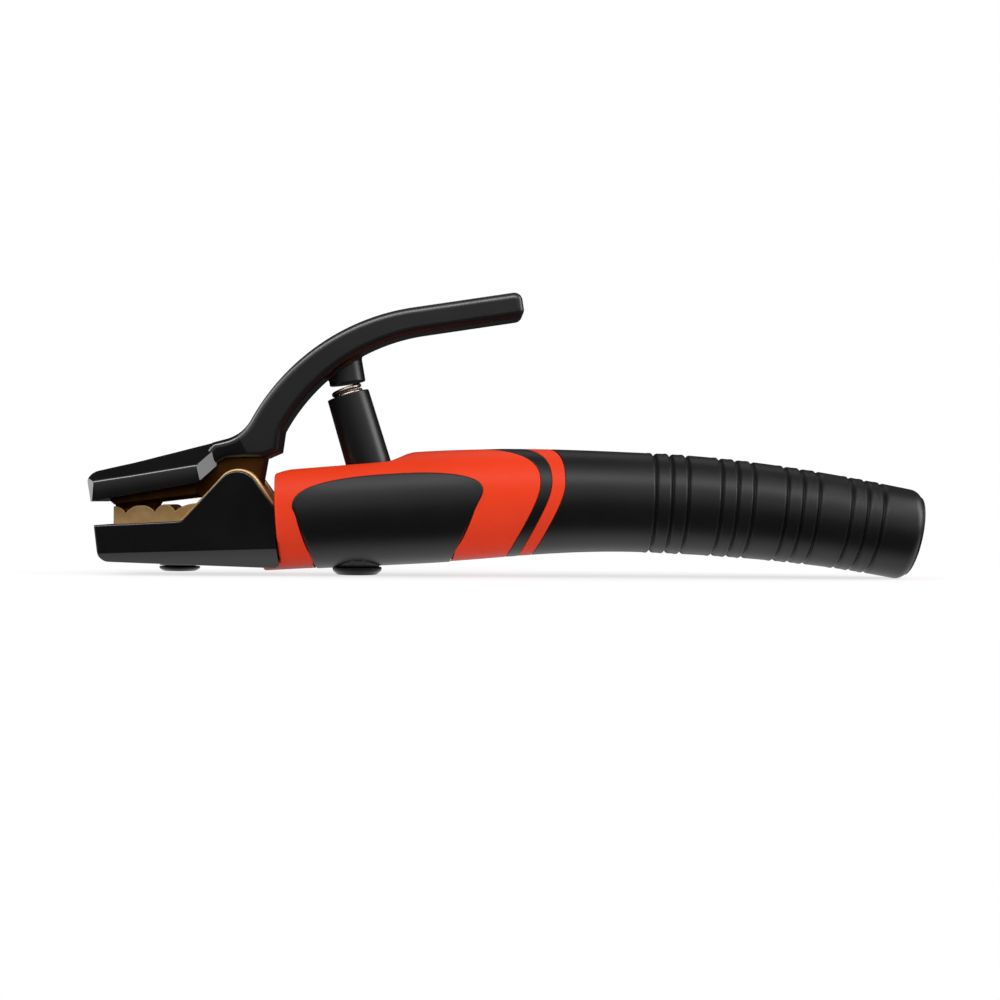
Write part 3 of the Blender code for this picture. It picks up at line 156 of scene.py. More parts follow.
def crossing(point: Pair, degrees: float, other: Pair, other_degrees: float) -> Pair:
    """Point where two sloped lines meet.

    Args:
        point: point of the first line, as (x, z).
        degrees: slope of the first line.
        other: point of the second line.
        other_degrees: slope of the second line.

    Returns:
        The crossing as (x, z).
    """
    slope = math.tan(math.radians(degrees))
    other_slope = math.tan(math.radians(other_degrees))
    x = (other[1] - point[1] + slope * point[0] - other_slope * other[0]) / (slope - other_slope)
    return at_x(point, degrees, x)


def rounded(corners: Sequence[Corner], steps: int = 8) -> list[Pair]:
    """Outline with its corners rounded.

    Args:
        corners: (x, z, radius) of each corner, in order round the outline.
        steps: segments of each rounding.

    Returns:
        Points of the closed outline.
    """
    outline: list[Pair] = []
    # Share of a side that a rounding may take, with another rounding at its far end or without
    shared, free = 0.45, 0.95
    for i, (x, z, radius) in enumerate(corners):
        corner = Vector((x, z))
        if radius == 0:
            outline.append((x, z))
            continue
        sides = (corners[i - 1], corners[(i + 1) % len(corners)])
        ways = [Vector(side[:2]) - corner for side in sides]
        room = min((shared if side[2] else free) * way.length for side, way in zip(sides, ways))
        half = ways[0].angle(ways[1]) / 2
        reach = min(radius / math.tan(half), room)
        start, end = (way.normalized() * reach for way in ways)
        centre = (start + end) / (2 * math.cos(half) ** 2)
        turn = math.pi - 2 * half
        for k in range(steps + 1):
            shares = (math.sin(turn * (1 - k / steps)), math.sin(turn * k / steps))
            spoke = ((start - centre) * shares[0] + (end - centre) * shares[1]) / math.sin(turn)
            outline.append(tuple(corner + centre + spoke))
    return outline


def soft_min(first: float, second: float, radius: float) -> float:
    """Smaller of two values, blended over a radius where they meet."""
    return (first + second - math.hypot(first - second, radius)) / 2


def quarter(radius: float, run: float) -> float:
    """Height of a quarter round of that radius, a run behind its foot."""
    rest = radius - min(max(run, 0.0), radius)
    return math.sqrt(radius ** 2 - rest ** 2)


def section(x: float, corners: Sequence[Corner], steps: int = 4) -> Ring:
    """Cross-section at x from the pivot, with corners of (y, z, radius)."""
    return [Vector((PIVOT.x + x, y, PIVOT.z + z)) for y, z in rounded(corners, steps)]


def side_ring(outline: Sequence[Pair], y: float) -> Ring:
    """Outline of a side view, set in the world at y."""
    return [Vector((PIVOT.x + x, y, PIVOT.z + z)) for x, z in outline]


def guard_place() -> Matrix:
    """Seat of the guard tube, with Z along the tube."""
    return Matrix.Translation(SEAT) @ Matrix.Rotation(-math.radians(GUARD_LEAN), 4, "Y")


# Modelling

def deselect_all() -> None:
    """Leave edit mode with nothing selected, so that an operator acts on one piece."""
    if bpy.context.mode != "OBJECT":
        bpy.ops.object.mode_set(mode="OBJECT")
    bpy.ops.object.select_all(action="DESELECT")


def make_active(piece: Piece) -> None:
    """Select one piece alone and make it active.

    Args:
        piece: the piece to work on.
    """
    deselect_all()
    piece.select_set(True)
    bpy.context.view_layer.objects.active = piece


def set_ring(piece: Piece, ring: Ring) -> None:
    """Move the selected ring of a piece in edit mode to its points.

    Args:
        piece: piece in edit mode, whose points carry their place in the ring.
        ring: new points of the ring.
    """
    mesh = bmesh.from_edit_mesh(piece.data)
    layer = mesh.verts.layers.int["place"]
    for vert in mesh.verts:
        if vert.select:
            vert.co = ring[vert[layer]]
    bmesh.update_edit_mesh(piece.data, loop_triangles=False, destructive=False)


def weld(piece: Piece) -> None:
    """Merge the points of a piece that coincide, turn its normals out and leave edit mode.

    Args:
        piece: the piece to close up.
    """
    make_active(piece)
    bpy.ops.object.mode_set(mode="EDIT")
    bpy.ops.mesh.select_all(action="SELECT")
    bpy.ops.mesh.remove_doubles(threshold=WELD)
    bpy.ops.mesh.normals_make_consistent(inside=False)
    bpy.ops.object.mode_set(mode="OBJECT")


def ring_skin(name: str, rings: Sequence[Ring], ends: Ends = Ends.FLAT) -> Piece:
    """Skin through rings: a circle is added, then extruded ring by ring.

    Args:
        name: name of the piece.
        rings: rings with the same number of points.
        ends: flat ends, or a wall whose last ring joins the first.

    Returns:
        The new piece, with its place in its mesh.
    """
    deselect_all()
    fill = "NGON" if ends is Ends.FLAT else "NOTHING"
    bpy.ops.mesh.primitive_circle_add(vertices=len(rings[0]), fill_type=fill, enter_editmode=True)
    bpy.ops.mesh.select_mode(type="VERT")
    piece = bpy.context.object
    piece.name = name
    mesh = bmesh.from_edit_mesh(piece.data)
    layer = mesh.verts.layers.int.new("place")
    for index, vert in enumerate(mesh.verts):
        vert[layer] = index
    set_ring(piece, rings[0])
    following = list(rings[1:])
    if ends is Ends.JOINED:
        following.append(rings[0])
    for ring in following:
        bpy.ops.mesh.extrude_region()
        set_ring(piece, ring)
    weld(piece)
    piece.data.attributes.remove(piece.data.attributes["place"])
    return piece


def plate(name: str, outline: Sequence[Pair], low: float, high: float) -> Piece:
    """Plain plate over a side view, from y = low to y = high."""
    return ring_skin(name, [side_ring(outline, low), side_ring(outline, high)])


def select_faces(piece: Piece, wanted: Callable[[bmesh.types.BMFace], bool]) -> None:
    """Select the faces of a piece in edit mode that pass a test.

    Args:
        piece: piece in edit mode.
        wanted: test that a face has to pass.
    """
    bpy.ops.mesh.select_all(action="DESELECT")
    bpy.ops.mesh.select_mode(type="FACE")
    mesh = bmesh.from_edit_mesh(piece.data)
    for face in mesh.faces:
        face.select_set(wanted(face))
    bmesh.update_edit_mesh(piece.data)


def soft_plate(
    name: str, outline: Sequence[Pair], low: float, high: float, edge: float, steps: int = 4
) -> Piece:
    """Plate over a side view with round side edges, which are inset step by step.

    Args:
        name: name of the piece.
        outline: side view of the plate.
        low: y of its nearer side.
        high: y of its farther side.
        edge: radius of the side edges.
        steps: segments of each rounding.

    Returns:
        The new piece.
    """
    piece = plate(name, outline, low + edge, high - edge)
    make_active(piece)
    bpy.ops.object.mode_set(mode="EDIT")
    for side in (-1, 1):
        select_faces(piece, lambda face: face.normal.y * side > SIDE_ON)
        inset = depth = 0.0
        for k in range(1, steps + 1):
            angle = math.pi / 2 * k / steps
            next_inset = edge * (1 - math.cos(angle))
            next_depth = edge * math.sin(angle)
            bpy.ops.mesh.inset(thickness=next_inset - inset, depth=next_depth - depth)
            inset, depth = next_inset, next_depth
    bpy.ops.object.mode_set(mode="OBJECT")
    return piece


def cast_plate(name: str, outline: Sequence[Pair], half: float) -> Piece:
    """Brass plate over a side view, of that half width and with cast edges."""
    return soft_plate(name, outline, -half, half, CAST_EDGE, 2)


def whole_turn(sides: int) -> list[float]:
    """Angles of the points of a ring, in radians."""
    return [2 * math.pi * k / sides for k in range(sides)]


def round_point(place: Matrix, radius: float, turn: float, height: float) -> Vector:
    """Point round the local Z axis of a place."""
    return place @ Vector((radius * math.cos(turn), radius * math.sin(turn), height))


def round_rings(place: Matrix, profile: Sequence[Pair], sides: int) -> list[Ring]:
    """Rings round the local Z axis of a place, through (radius, height) points."""
    turns = whole_turn(sides)
    return [[round_point(place, radius, turn, height) for turn in turns] for radius, height in profile]


def turned(name: str, profile: Sequence[Pair], place: Matrix, sides: int) -> Piece:
    """Turned piece: (radius, height) points from the axis and back, or a closed wall off the axis."""
    solid = profile[0][0] == 0
    return ring_skin(name, round_rings(place, profile, sides), Ends.FLAT if solid else Ends.JOINED)


def aimed(start: Vector, way: Vector) -> Matrix:
    """Place at a point, with its Z axis along a way."""
    return Matrix.Translation(start) @ way.to_track_quat("Z", "Y").to_matrix().to_4x4()


def rod(name: str, start: Vector, end: Vector, radius: float, edge: float = 0.0) -> Piece:
    """Round bar between two points, with a rounded edge at both ends.

    Args:
        name: name of the piece.
        start: middle of one end.
        end: middle of the other end.
        radius: radius of the bar.
        edge: radius of its end edges.

    Returns:
        The new piece.
    """
    way = end - start
    corners = [(0, 0, 0), (radius, 0, edge), (radius, way.length, edge), (0, way.length, 0)]
    return turned(name, rounded(corners, 4), aimed(start, way), AROUND_SCREW)


def drill(point: Vector, radius: float) -> Piece:
    """Cutter of an upright hole through a point."""
    reach = Vector((0, 0, OVERCUT))
    return rod("hole", point - reach, point + reach, radius)


def pin_drill(radius: float, half: float) -> Piece:
    """Cutter of the pivot's hole through a piece of that half width."""
    reach = Vector((0, half + OVERCUT, 0))
    return rod("hole", PIVOT - reach, PIVOT + reach, radius)


def key_cutter(place: Matrix, key: Corner) -> Piece:
    """Cutter of a hexagon socket with a pointed floor.

    Args:
        place: mouth of the socket, with Z into the screw.
        key: radius, depth and depth at the tip.

    Returns:
        The cutter.
    """
    radius, depth, tip = key
    profile = [(0, -OVERCUT), (radius, -OVERCUT), (radius, depth), (0, tip)]
    return turned("key", profile, place, AROUND_KEY)


def apply_modifier(piece: Piece, kind: str, **settings: object) -> None:
    """Add a modifier with its settings to a piece and apply it.

    Args:
        piece: piece that gets the modifier.
        kind: type of the modifier.
        settings: its properties by name.
    """
    make_active(piece)
    modifier = piece.modifiers.new(kind.lower(), kind)
    for key, value in settings.items():
        setattr(modifier, key, value)
    bpy.ops.object.modifier_apply(modifier=modifier.name)


def combine(piece: Piece, operation: Operation, *tools: Piece) -> Piece:
    """Cut tools out of a piece or join them to it, and remove the tools.

    Args:
        piece: piece that is changed.
        operation: cut or join.
        tools: pieces that are used up.

    Returns:
        The changed piece.
    """
    for tool in tools:
        apply_modifier(piece, "BOOLEAN", operation=operation.value, solver="EXACT", object=tool)
        mesh = tool.data
        bpy.data.objects.remove(tool)
        bpy.data.meshes.remove(mesh)
    return piece


def bisect(piece: Piece, point: Vector, normal: Vector) -> None:
    """Cut away the side of a plane that its normal points to, and close the cut.

    Args:
        piece: piece that is cut.
        point: point of the plane.
        normal: way to the side that goes.
    """
    make_active(piece)
    bpy.ops.object.mode_set(mode="EDIT")
    bpy.ops.mesh.select_all(action="SELECT")
    bpy.ops.mesh.bisect(
        plane_co=point, plane_no=normal, clear_outer=True, use_fill=True, threshold=WELD / 2
    )
    weld(piece)


def smooth(piece: Piece) -> None:
    """Shade a piece smooth between its sharp edges, with flat faces kept flat.

    Args:
        piece: the piece to shade.
    """
    make_active(piece)
    bpy.ops.object.shade_smooth_by_angle(angle=math.radians(SMOOTH_ANGLE))
    apply_modifier(piece, "WEIGHTED_NORMAL", keep_sharp=True)


# Materials

def srgb(code: str) -> tuple[float, float, float, float]:
    """Linear colour of an sRGB hex code such as #E8401C.

    Args:
        code: hex code with its hash sign.

    Returns:
        Red, green, blue and an alpha of 1.
    """
    parts = [int(code[i:i + 2], 16) / 255 for i in (1, 3, 5)]
    linear = [p / 12.92 if p <= 0.04045 else ((p + 0.055) / 1.055) ** 2.4 for p in parts]
    return (linear[0], linear[1], linear[2], 1.0)


def per_size(millimetres: float) -> float:
    """Noise scale whose features are about that many millimetres across."""
    return 1000 / millimetres


# Node types that are used most
MATH = "ShaderNodeMath"
MAP_RANGE = "ShaderNodeMapRange"


def add_node(
    tree: bpy.types.NodeTree, kind: str, settings: dict | None = None, links: dict | None = None
) -> bpy.types.Node:
    """Add a node with its settings and links.

    Args:
        tree: node tree that gets the node.
        kind: type name of the node.
        settings: properties by name, and input values by socket name or number.
        links: output sockets by the socket name or number that they go to.

    Returns:
        The new node.
    """
    node = tree.nodes.new(kind)
    for key, value in (settings or {}).items():
        if isinstance(key, str) and hasattr(node, key):
            setattr(node, key, value)
        else:
            node.inputs[key].default_value = value
    for key, source in (links or {}).items():
        tree.links.new(source, node.inputs[key])
    return node


def new_material(name: str) -> tuple[bpy.types.Material, bpy.types.NodeTree, bpy.types.Node]:
    """Empty material with a Principled shader on its output.

    Args:
        name: name of the material.

    Returns:
        The material, its node tree and the shader.
    """
    material = bpy.data.materials.new(name)
    material.use_nodes = True
    tree = material.node_tree
    tree.nodes.clear()
    shader = add_node(tree, "ShaderNodeBsdfPrincipled")
    add_node(tree, "ShaderNodeOutputMaterial", None, {"Surface": shader.outputs[0]})
    return material, tree, shader


@dataclass(frozen=True)
class Finish:
    """Surface with mottled colour, uneven roughness and a fine grain.

    The mottle is broad, as melt flow or tarnish leaves it. The grain is the texture of the mould or the
    casting, drawn coarse enough to show.
    """

    name: str
    colour: str
    shade: str
    roughness: Pair
    specular: float = 0.5
    metallic: float = 0.0
    mottle_mm: float = 14.0
    mottle_bias: Pair = (0.35, 0.70)
    grain_mm: float = 0.5
    grain_depth: float = 0.00003
    grain_strength: float = 0.25
    stretch: tuple[float, float, float] = (1.0, 1.0, 1.0)

    def material(self) -> bpy.types.Material:
        """Procedural material of this finish.

        Returns:
            The new material.
        """
        material, tree, shader = new_material(self.name)
        shader.inputs["Metallic"].default_value = self.metallic
        shader.inputs["Specular IOR Level"].default_value = self.specular
        coords = add_node(tree, "ShaderNodeTexCoord").outputs["Object"]
        place = add_node(
            tree, "ShaderNodeMapping", {"Scale": self.stretch}, {"Vector": coords}
        ).outputs[0]
        mottle = add_node(
            tree, "ShaderNodeTexNoise", {"Scale": per_size(self.mottle_mm), "Detail": 5.0},
            {"Vector": place},
        ).outputs[0]
        low, high = self.mottle_bias
        share = add_node(
            tree, MAP_RANGE, {"From Min": low, "From Max": high}, {"Value": mottle}
        ).outputs[0]
        colours = {"data_type": "RGBA", 6: srgb(self.colour), 7: srgb(self.shade)}
        colour = add_node(tree, "ShaderNodeMix", colours, {0: share}).outputs[2]
        grain = add_node(
            tree, "ShaderNodeTexNoise", {"Scale": per_size(self.grain_mm), "Detail": 3.0},
            {"Vector": place},
        ).outputs[0]
        low, high = self.roughness
        rough = add_node(tree, MAP_RANGE, {"To Min": low, "To Max": high}, {"Value": mottle}).outputs[0]
        bump = add_node(
            tree, "ShaderNodeBump", {"Strength": self.grain_strength, "Distance": self.grain_depth},
            {"Height": grain},
        ).outputs[0]
        tree.links.new(colour, shader.inputs["Base Color"])
        tree.links.new(rough, shader.inputs["Roughness"])
        tree.links.new(bump, shader.inputs["Normal"])
        return material


# Glass-filled nylon, injection moulded with a spark-eroded mould: satin red with a fine even grain
RED_NYLON = Finish(
    "red_moulded_nylon", "#E83A12", "#DF360F", (0.40, 0.50), specular=0.2, mottle_mm=30, grain_mm=0.6,
)
# Thermoplastic elastomer moulded over the shell: dull soft black, a broad sheen and no mirror image
SOFT_RUBBER = Finish(
    "black_soft_elastomer", "#0C0C0D", "#111112", (0.36, 0.46), specular=0.4, mottle_mm=22, grain_mm=0.5,
    grain_strength=0.3,
)
# Phenolic, compression moulded in a polished mould: deep gloss black with slight flow marks
GLOSS_PHENOLIC = Finish(
    "black_gloss_phenolic", "#070708", "#0C0C0D", (0.12, 0.20), specular=0.5, mottle_mm=18, grain_mm=2.2,
    grain_depth=0.00002, grain_strength=0.12,
)
# Moulded nylon of the lever: satin black, evenly grained
SATIN_NYLON = Finish(
    "black_satin_nylon", "#0C0C0D", "#101011", (0.28, 0.38), specular=0.5, mottle_mm=24, grain_mm=0.6,
)
# Sand cast brass, dressed on the teeth: yellow brown, dull, with darker tarnish in broad patches
CAST_BRASS = Finish(
    "cast_brass", "#F2CB92", "#D2A468", (0.42, 0.58), metallic=1.0, mottle_mm=7, grain_mm=0.8,
    grain_depth=0.00005, grain_strength=0.35,
)
# The same casting in the upper jaw, made dark brown as painted shade for the shadow under its cover: dark
# and dull
SHADE_PAINTED_BRASS = Finish(
    "shade_painted_cast_brass", "#5A391B", "#432912", (0.42, 0.58), metallic=1.0, mottle_mm=6, grain_mm=0.8,
    grain_depth=0.00005, grain_strength=0.35,
)
# Rolled copper strip: pink brown with fine lines along the strip
ROLLED_COPPER = Finish(
    "rolled_copper", "#B87350", "#96573A", (0.28, 0.42), metallic=1.0, mottle_mm=6, grain_mm=0.5,
    stretch=(0.1, 1.0, 1.0),
)
# Drawn spring wire, oil tempered: bright steel with a faint warm cast
DRAWN_STEEL = Finish(
    "drawn_spring_steel", "#D6C6BC", "#A79488", (0.20, 0.34), metallic=1.0, mottle_mm=4, grain_mm=0.4,
)
# Steel screw with black zinc plating: dark satin metal
BLACK_ZINC = Finish(
    "black_zinc_steel", "#232325", "#161617", (0.26, 0.38), metallic=0.7, mottle_mm=5, grain_mm=0.4,
)
# Vulcanised fibre: matt red brown, felted
VULCAN_FIBRE = Finish(
    "vulcanised_fibre", "#7A4630", "#5E3324", (0.72, 0.86), mottle_mm=3, grain_mm=0.4,
    grain_strength=0.5,
)


def dress(piece: Piece, finish: Finish, slot: Slot, body: Body, *nodes: str) -> Piece:
    """Shade a piece, give it its finish and put it in the place of its solids.

    Args:
        piece: finished mesh.
        finish: surface that it gets.
        slot: slot of the record that the finish stands for; not used.
        body: body that it rides on.
        nodes: solids that it stands for.

    Returns:
        The same piece.
    """
    smooth(piece)
    material = bpy.data.materials.get(finish.name) or finish.material()
    piece.data.materials.clear()
    piece.data.materials.append(material)
    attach(piece, body.value)
    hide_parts(*nodes)
    LOG.info("%s rides on %s, %d faces", piece.name, body.value, len(piece.data.polygons))
    return piece


# Handle

def level(distance: float) -> Along:
    """Edge at one distance all round the handle."""
    return lambda around: distance


def between(first: Along, last: Along, share: float) -> Along:
    """Edge a share of the way from one edge to another."""
    return lambda around: first(around) * (1 - share) + last(around) * share


def shifted(edge: Along, shift: float) -> Along:
    """Edge moved along the handle."""
    return lambda around: edge(around) + shift


@dataclass
class HandleForm:
    """Bent axis and round skin that the shell and its grips share."""

    # Middle of the front rim
    front: Pair = (0.0115, -0.0071)
    pitch: float = 3.5
    straight: float = 0.0648
    bend_radius: float = 0.515
    length: float = 0.1985
    # Stations of the skin as (distance, radius)
    radii: tuple[Pair, ...] = ((0.0, 0.0170), (0.0450, 0.0173), (0.1150, 0.0155), (0.1985, 0.0142))
    flat_height: float = 0.0137
    flat_slope: float = 5.0
    flat_length: float = 0.0342
    ramp_slope: float = 27.0
    flat_edge: float = 0.0005
    roll_drop: float = 0.0008
    roll_length: float = 0.0032
    lip_reach: float = 0.0060
    lip_spread: float = 32.0
    lip_thickness: float = 0.0017
    stripe_apex_angle: float = 23.0
    stripe_softness: float = 0.0045
    stripe_power: float = 2.4
    stripe_blunt: float = 0.985

    def axis(self, distance: float) -> tuple[Vector, float]:
        """Point and slope, in radians, of the axis behind the front rim.

        Args:
            distance: distance along the axis behind the front rim.

        Returns:
            The point in the world and the slope.
        """
        pitch = math.radians(self.pitch)
        straight = min(distance, self.straight)
        slope = pitch - max(distance - self.straight, 0) / self.bend_radius
        bend_x = self.bend_radius * (math.sin(pitch) - math.sin(slope))
        bend_z = self.bend_radius * (math.cos(slope) - math.cos(pitch))
        x = self.front[0] + straight * math.cos(pitch) + bend_x
        z = self.front[1] + straight * math.sin(pitch) + bend_z
        return PIVOT + Vector((x, 0, z)), slope

    def point(self, distance: float, around: float, radius: float) -> Vector:
        """Point round the axis: 0 faces the viewer, a quarter turn is on top.

        Args:
            distance: distance along the axis.
            around: angle round the axis, in radians.
            radius: distance from the axis.

        Returns:
            The point in the world.
        """
        centre, slope = self.axis(distance)
        up = radius * math.sin(around)
        return centre + Vector((-up * math.sin(slope), -radius * math.cos(around), up * math.cos(slope)))

    def radius(self, distance: float) -> float:
        """Radius of the skin, eased between its stations.

        Args:
            distance: distance along the axis.

        Returns:
            The radius.
        """
        for (start, first), (end, last) in zip(self.radii, self.radii[1:]):
            if distance <= end:
                t = max(0.0, (distance - start) / (end - start))
                return first + (last - first) * t * t * (3 - 2 * t)
        return self.radii[-1][1]

    def ceiling(self, x: float) -> float:
        """Height of the flat on top of the shell, with the ramp at its rear.

        Args:
            x: place along the world's X axis.

        Returns:
            The height in the world.
        """
        run = x - PIVOT.x - self.front[0]
        base = PIVOT.z + self.front[1] + self.flat_height
        flat = base + run * math.tan(math.radians(self.flat_slope))
        ramp_run = run - self.flat_length
        ramp = math.tan(math.radians(self.ramp_slope)) - math.tan(math.radians(self.flat_slope))
        soft = math.hypot(ramp_run, 2 * self.flat_edge)
        roll = flat - self.roll_drop * (1 - run / self.roll_length)
        return soft_min(flat + ramp * (ramp_run + soft) / 2, roll, self.flat_edge / 2)

    def skin(self, distance: float, around: float, inset: float) -> Vector:
        """Point a depth under the skin, brought down to the flat where the round rises over it.

        Args:
            distance: distance along the axis.
            around: angle round the axis, in radians.
            inset: depth under the skin.

        Returns:
            The point in the world.
        """
        point = self.point(distance, around, self.radius(distance) - inset)
        if math.sin(around) > 0:
            point.z = soft_min(point.z, self.ceiling(point.x) - inset, self.flat_edge)
        return point

    def angles(self) -> list[float]:
        """Angles of the points of a ring."""
        return [2 * math.pi * (k + 0.5) / AROUND_HANDLE - math.pi for k in range(AROUND_HANDLE)]

    def ring(self, along: Along, inset: float) -> Ring:
        """Ring a depth under the skin, at the distance that along gives at each angle."""
        return [self.skin(along(around), around, inset) for around in self.angles()]

    def bore(self, distance: float, radius: float) -> Ring:
        """Plain round ring about the axis."""
        return [self.point(distance, around, radius) for around in self.angles()]

    def rim_x(self, z: float, gap: float) -> float:
        """X, from the pivot, of the plane that lies a gap in front of the front rim."""
        slope = math.radians(self.pitch)
        return self.front[0] - (z - self.front[1]) * math.tan(slope) - gap / math.cos(slope)

    def lip(self, around: float) -> float:
        """Front edge of the rim: a round tongue reaches forward under the jaw cover."""
        off = (math.degrees(around) + 90) / self.lip_spread
        return -self.lip_reach * max(0.0, 1 - off * off)

    def stripe(self, apex: float, arch: float, sweep: float, around: float) -> float:
        """Chevron edge that arches forward over the top and sweeps forward below its apex.

        Args:
            apex: distance of the apex along the axis.
            arch: how strongly it arches forward over the top.
            sweep: how strongly it sweeps forward below.
            around: angle round the axis, in radians.

        Returns:
            The distance of the edge along the axis.
        """
        apex_angle = math.radians(self.stripe_apex_angle)
        lean = math.asin(self.stripe_blunt * math.sin(around))
        over = max(0.0, lean - apex_angle)
        drop = max(0.0, math.sin(apex_angle) - math.sin(lean)) * self.radius(apex)
        below = math.hypot(self.stripe_softness, sweep * drop) - self.stripe_softness
        return apex - arch * over ** self.stripe_power - below


@dataclass
class Handle:
    """Red shell with its soft grips and the screw that holds it."""

    form: HandleForm = field(default_factory=HandleForm)
    # Chevron edges as (apex, arch, sweep)
    band_front: Corner = (0.0803, 0.0168, 0.66)
    band_rear: Corner = (0.0838, 0.0078, 0.64)
    sleeve_front: Corner = (0.0878, 0.0037, 0.63)
    stripe_depth: float = 0.0016
    sleeve_thickness: float = 0.0024
    rim_edge: float = 0.0010
    skin_start: float = 0.0030
    skin_step: float = 0.0015
    skin_end: float = 0.0600
    groove_edge: float = 0.0002
    cavity: float = 0.0118
    cavity_end: float = 0.0648
    cable_bore: float = 0.0088
    slot_gap: float = 0.0006
    slot_reach: float = 0.0100
    pad_thickness: float = 0.0020
    pad_proud: float = 0.0002
    # Ends of the saddle at its keel, and how much they shift towards its sides
    pad_front: Pair = (0.0106, 0.0053)
    pad_rear: Pair = (0.0517, 0.54)
    # Radii of the foot at its low and its high end
    pad_foot: Pair = (0.0068, 0.0080)
    pad_side_angle: float = 6.0
    pad_crest_angle: float = 38.0
    pad_crest_power: float = 2.4
    pad_edge: float = 0.0003
    # Rows of points along the saddle's sides, as shares of its half width
    pad_margins: tuple[float, ...] = (0.0, 0.0006, 0.0025, 0.0060, 0.0105)
    pad_middle: float = 0.98
    sleeve_step: float = 0.0035
    groove_first: float = 0.1155
    groove_groups: int = 4
    group_grooves: int = 3
    group_pitch: float = 0.0200
    groove_pitch: float = 0.0049
    groove_depth: float = 0.0008
    lip_height: float = 0.0001
    end_edge: float = 0.0034
    end_inset: float = 0.0017
    screw_at: float = 0.0240
    # Radius and length of head and shank
    screw_head: Pair = (0.0076, 0.0024)
    screw_shank: Pair = (0.0040, 0.0130)

    @property
    def behind(self) -> float:
        """Distance of the first level ring behind the front of the sleeve."""
        return self.sleeve_front[0] + 2 * self.sleeve_thickness

    def edge(self, stripe: Corner) -> Along:
        """Chevron edge of a stripe."""
        return lambda around: self.form.stripe(*stripe, around)

    def rim_rings(self) -> list[Ring]:
        """Rings of the front rim, from the cavity over the round edge of its lip.

        Returns:
            The rings, from inside to outside.
        """
        form, steps = self.form, 4
        rings = [
            form.bore(0.0, self.cavity),
            self.lip_ring(level(0.0), SEAT_GAP),
            self.lip_ring(form.lip, 0.0),
        ]
        for k in range(steps + 1):
            angle = math.pi / 2 * k / steps
            back = self.rim_edge * (1 - math.cos(angle))
            rings.append(form.ring(shifted(form.lip, back), self.rim_edge * (1 - math.sin(angle))))
        return rings

    def skin_rings(self) -> list[Ring]:
        """Rings of the red skin, with the groove for the stripe and the step for the sleeve.

        Returns:
            The rings, from front to rear.
        """
        form, thin, ease = self.form, self.groove_edge, 7
        front, rear, step = (self.edge(s) for s in (self.band_front, self.band_rear, self.sleeve_front))
        count = round((self.skin_end - self.skin_start) / self.skin_step)
        rings = [form.ring(level(self.skin_start + k * self.skin_step), 0) for k in range(count + 1)]
        for k in range(1, ease + 1):
            rings.append(form.ring(between(level(self.skin_end), shifted(front, -thin), k / ease), 0))
        rings += [form.ring(front, thin), form.ring(front, self.stripe_depth)]
        rings += [form.ring(rear, self.stripe_depth), form.ring(rear, thin)]
        rings += [form.ring(shifted(rear, thin), 0), form.ring(between(rear, step, 0.5), 0)]
        rings += [form.ring(shifted(step, -thin), 0), form.ring(step, thin)]
        rings.append(form.ring(step, self.sleeve_thickness))
        return rings

    def core_rings(self) -> list[Ring]:
        """Rings of the core under the sleeve, and back through the cable bore to the cavity.

        Returns:
            The rings, to the rear and back again.
        """
        form, steps = self.form, 16
        end = form.length - self.rim_edge
        outer = [self.behind + (end - self.behind) * k / steps for k in range(steps + 1)]
        inner = [self.cavity_end + (end - self.cavity_end) * k / steps for k in range(steps + 1)]
        rings = [form.ring(level(distance), self.sleeve_thickness) for distance in outer]
        rings += [form.bore(distance, self.cable_bore) for distance in reversed(inner)]
        rings.append(form.bore(self.cavity_end, self.cavity))
        return rings

    def shell(self) -> Piece:
        """Red shell with its bore, the recess of the pad, the slot of the tube and the screw's hole.

        Returns:
            The new piece.
        """
        rings = self.rim_rings() + self.skin_rings() + self.core_rings()
        piece = ring_skin("handle_shell_red", rings, Ends.JOINED)
        recess = self.pad_solid("recess", TIGHT_GAP, OVERCUT / 4, 0.0)
        hole = drill(self.screw_point(), self.screw_shank[0])
        return combine(piece, Operation.CUT, recess, self.tube_slot(), hole)

    def lip_ring(self, along: Along, gap: float) -> Ring:
        """Inner edge of the rim, which is thickest under the tongue of the lip.

        Args:
            along: distance along the axis by angle.
            gap: added thickness of the lip.

        Returns:
            The ring.
        """
        ring = []
        for around in self.form.angles():
            under = max(0.0, -math.sin(around)) ** 2
            inset = self.rim_edge + (self.form.lip_thickness + gap - self.rim_edge) * under
            ring.append(self.form.skin(along(around), around, inset))
        return ring

    def tube_slot(self) -> Piece:
        """Cutter of the long hole in the flat that the guard tube rocks in.

        Returns:
            The cutter.
        """
        lean, steps = math.radians(GUARD_LEAN), AROUND_SCREW // 2
        half = GUARD_RADIUS / math.cos(lean) + self.slot_gap
        front = self.slot_reach * math.tan(lean)
        outline = arc((-front, 0), half, 90, 270, steps) + arc((self.slot_gap, 0), half, -90, 90, steps)
        heights = (-SEAT_GAP, 2 * OVERCUT)
        return ring_skin("slot", [[SEAT + Vector((x, y, z)) for x, y in outline] for z in heights])

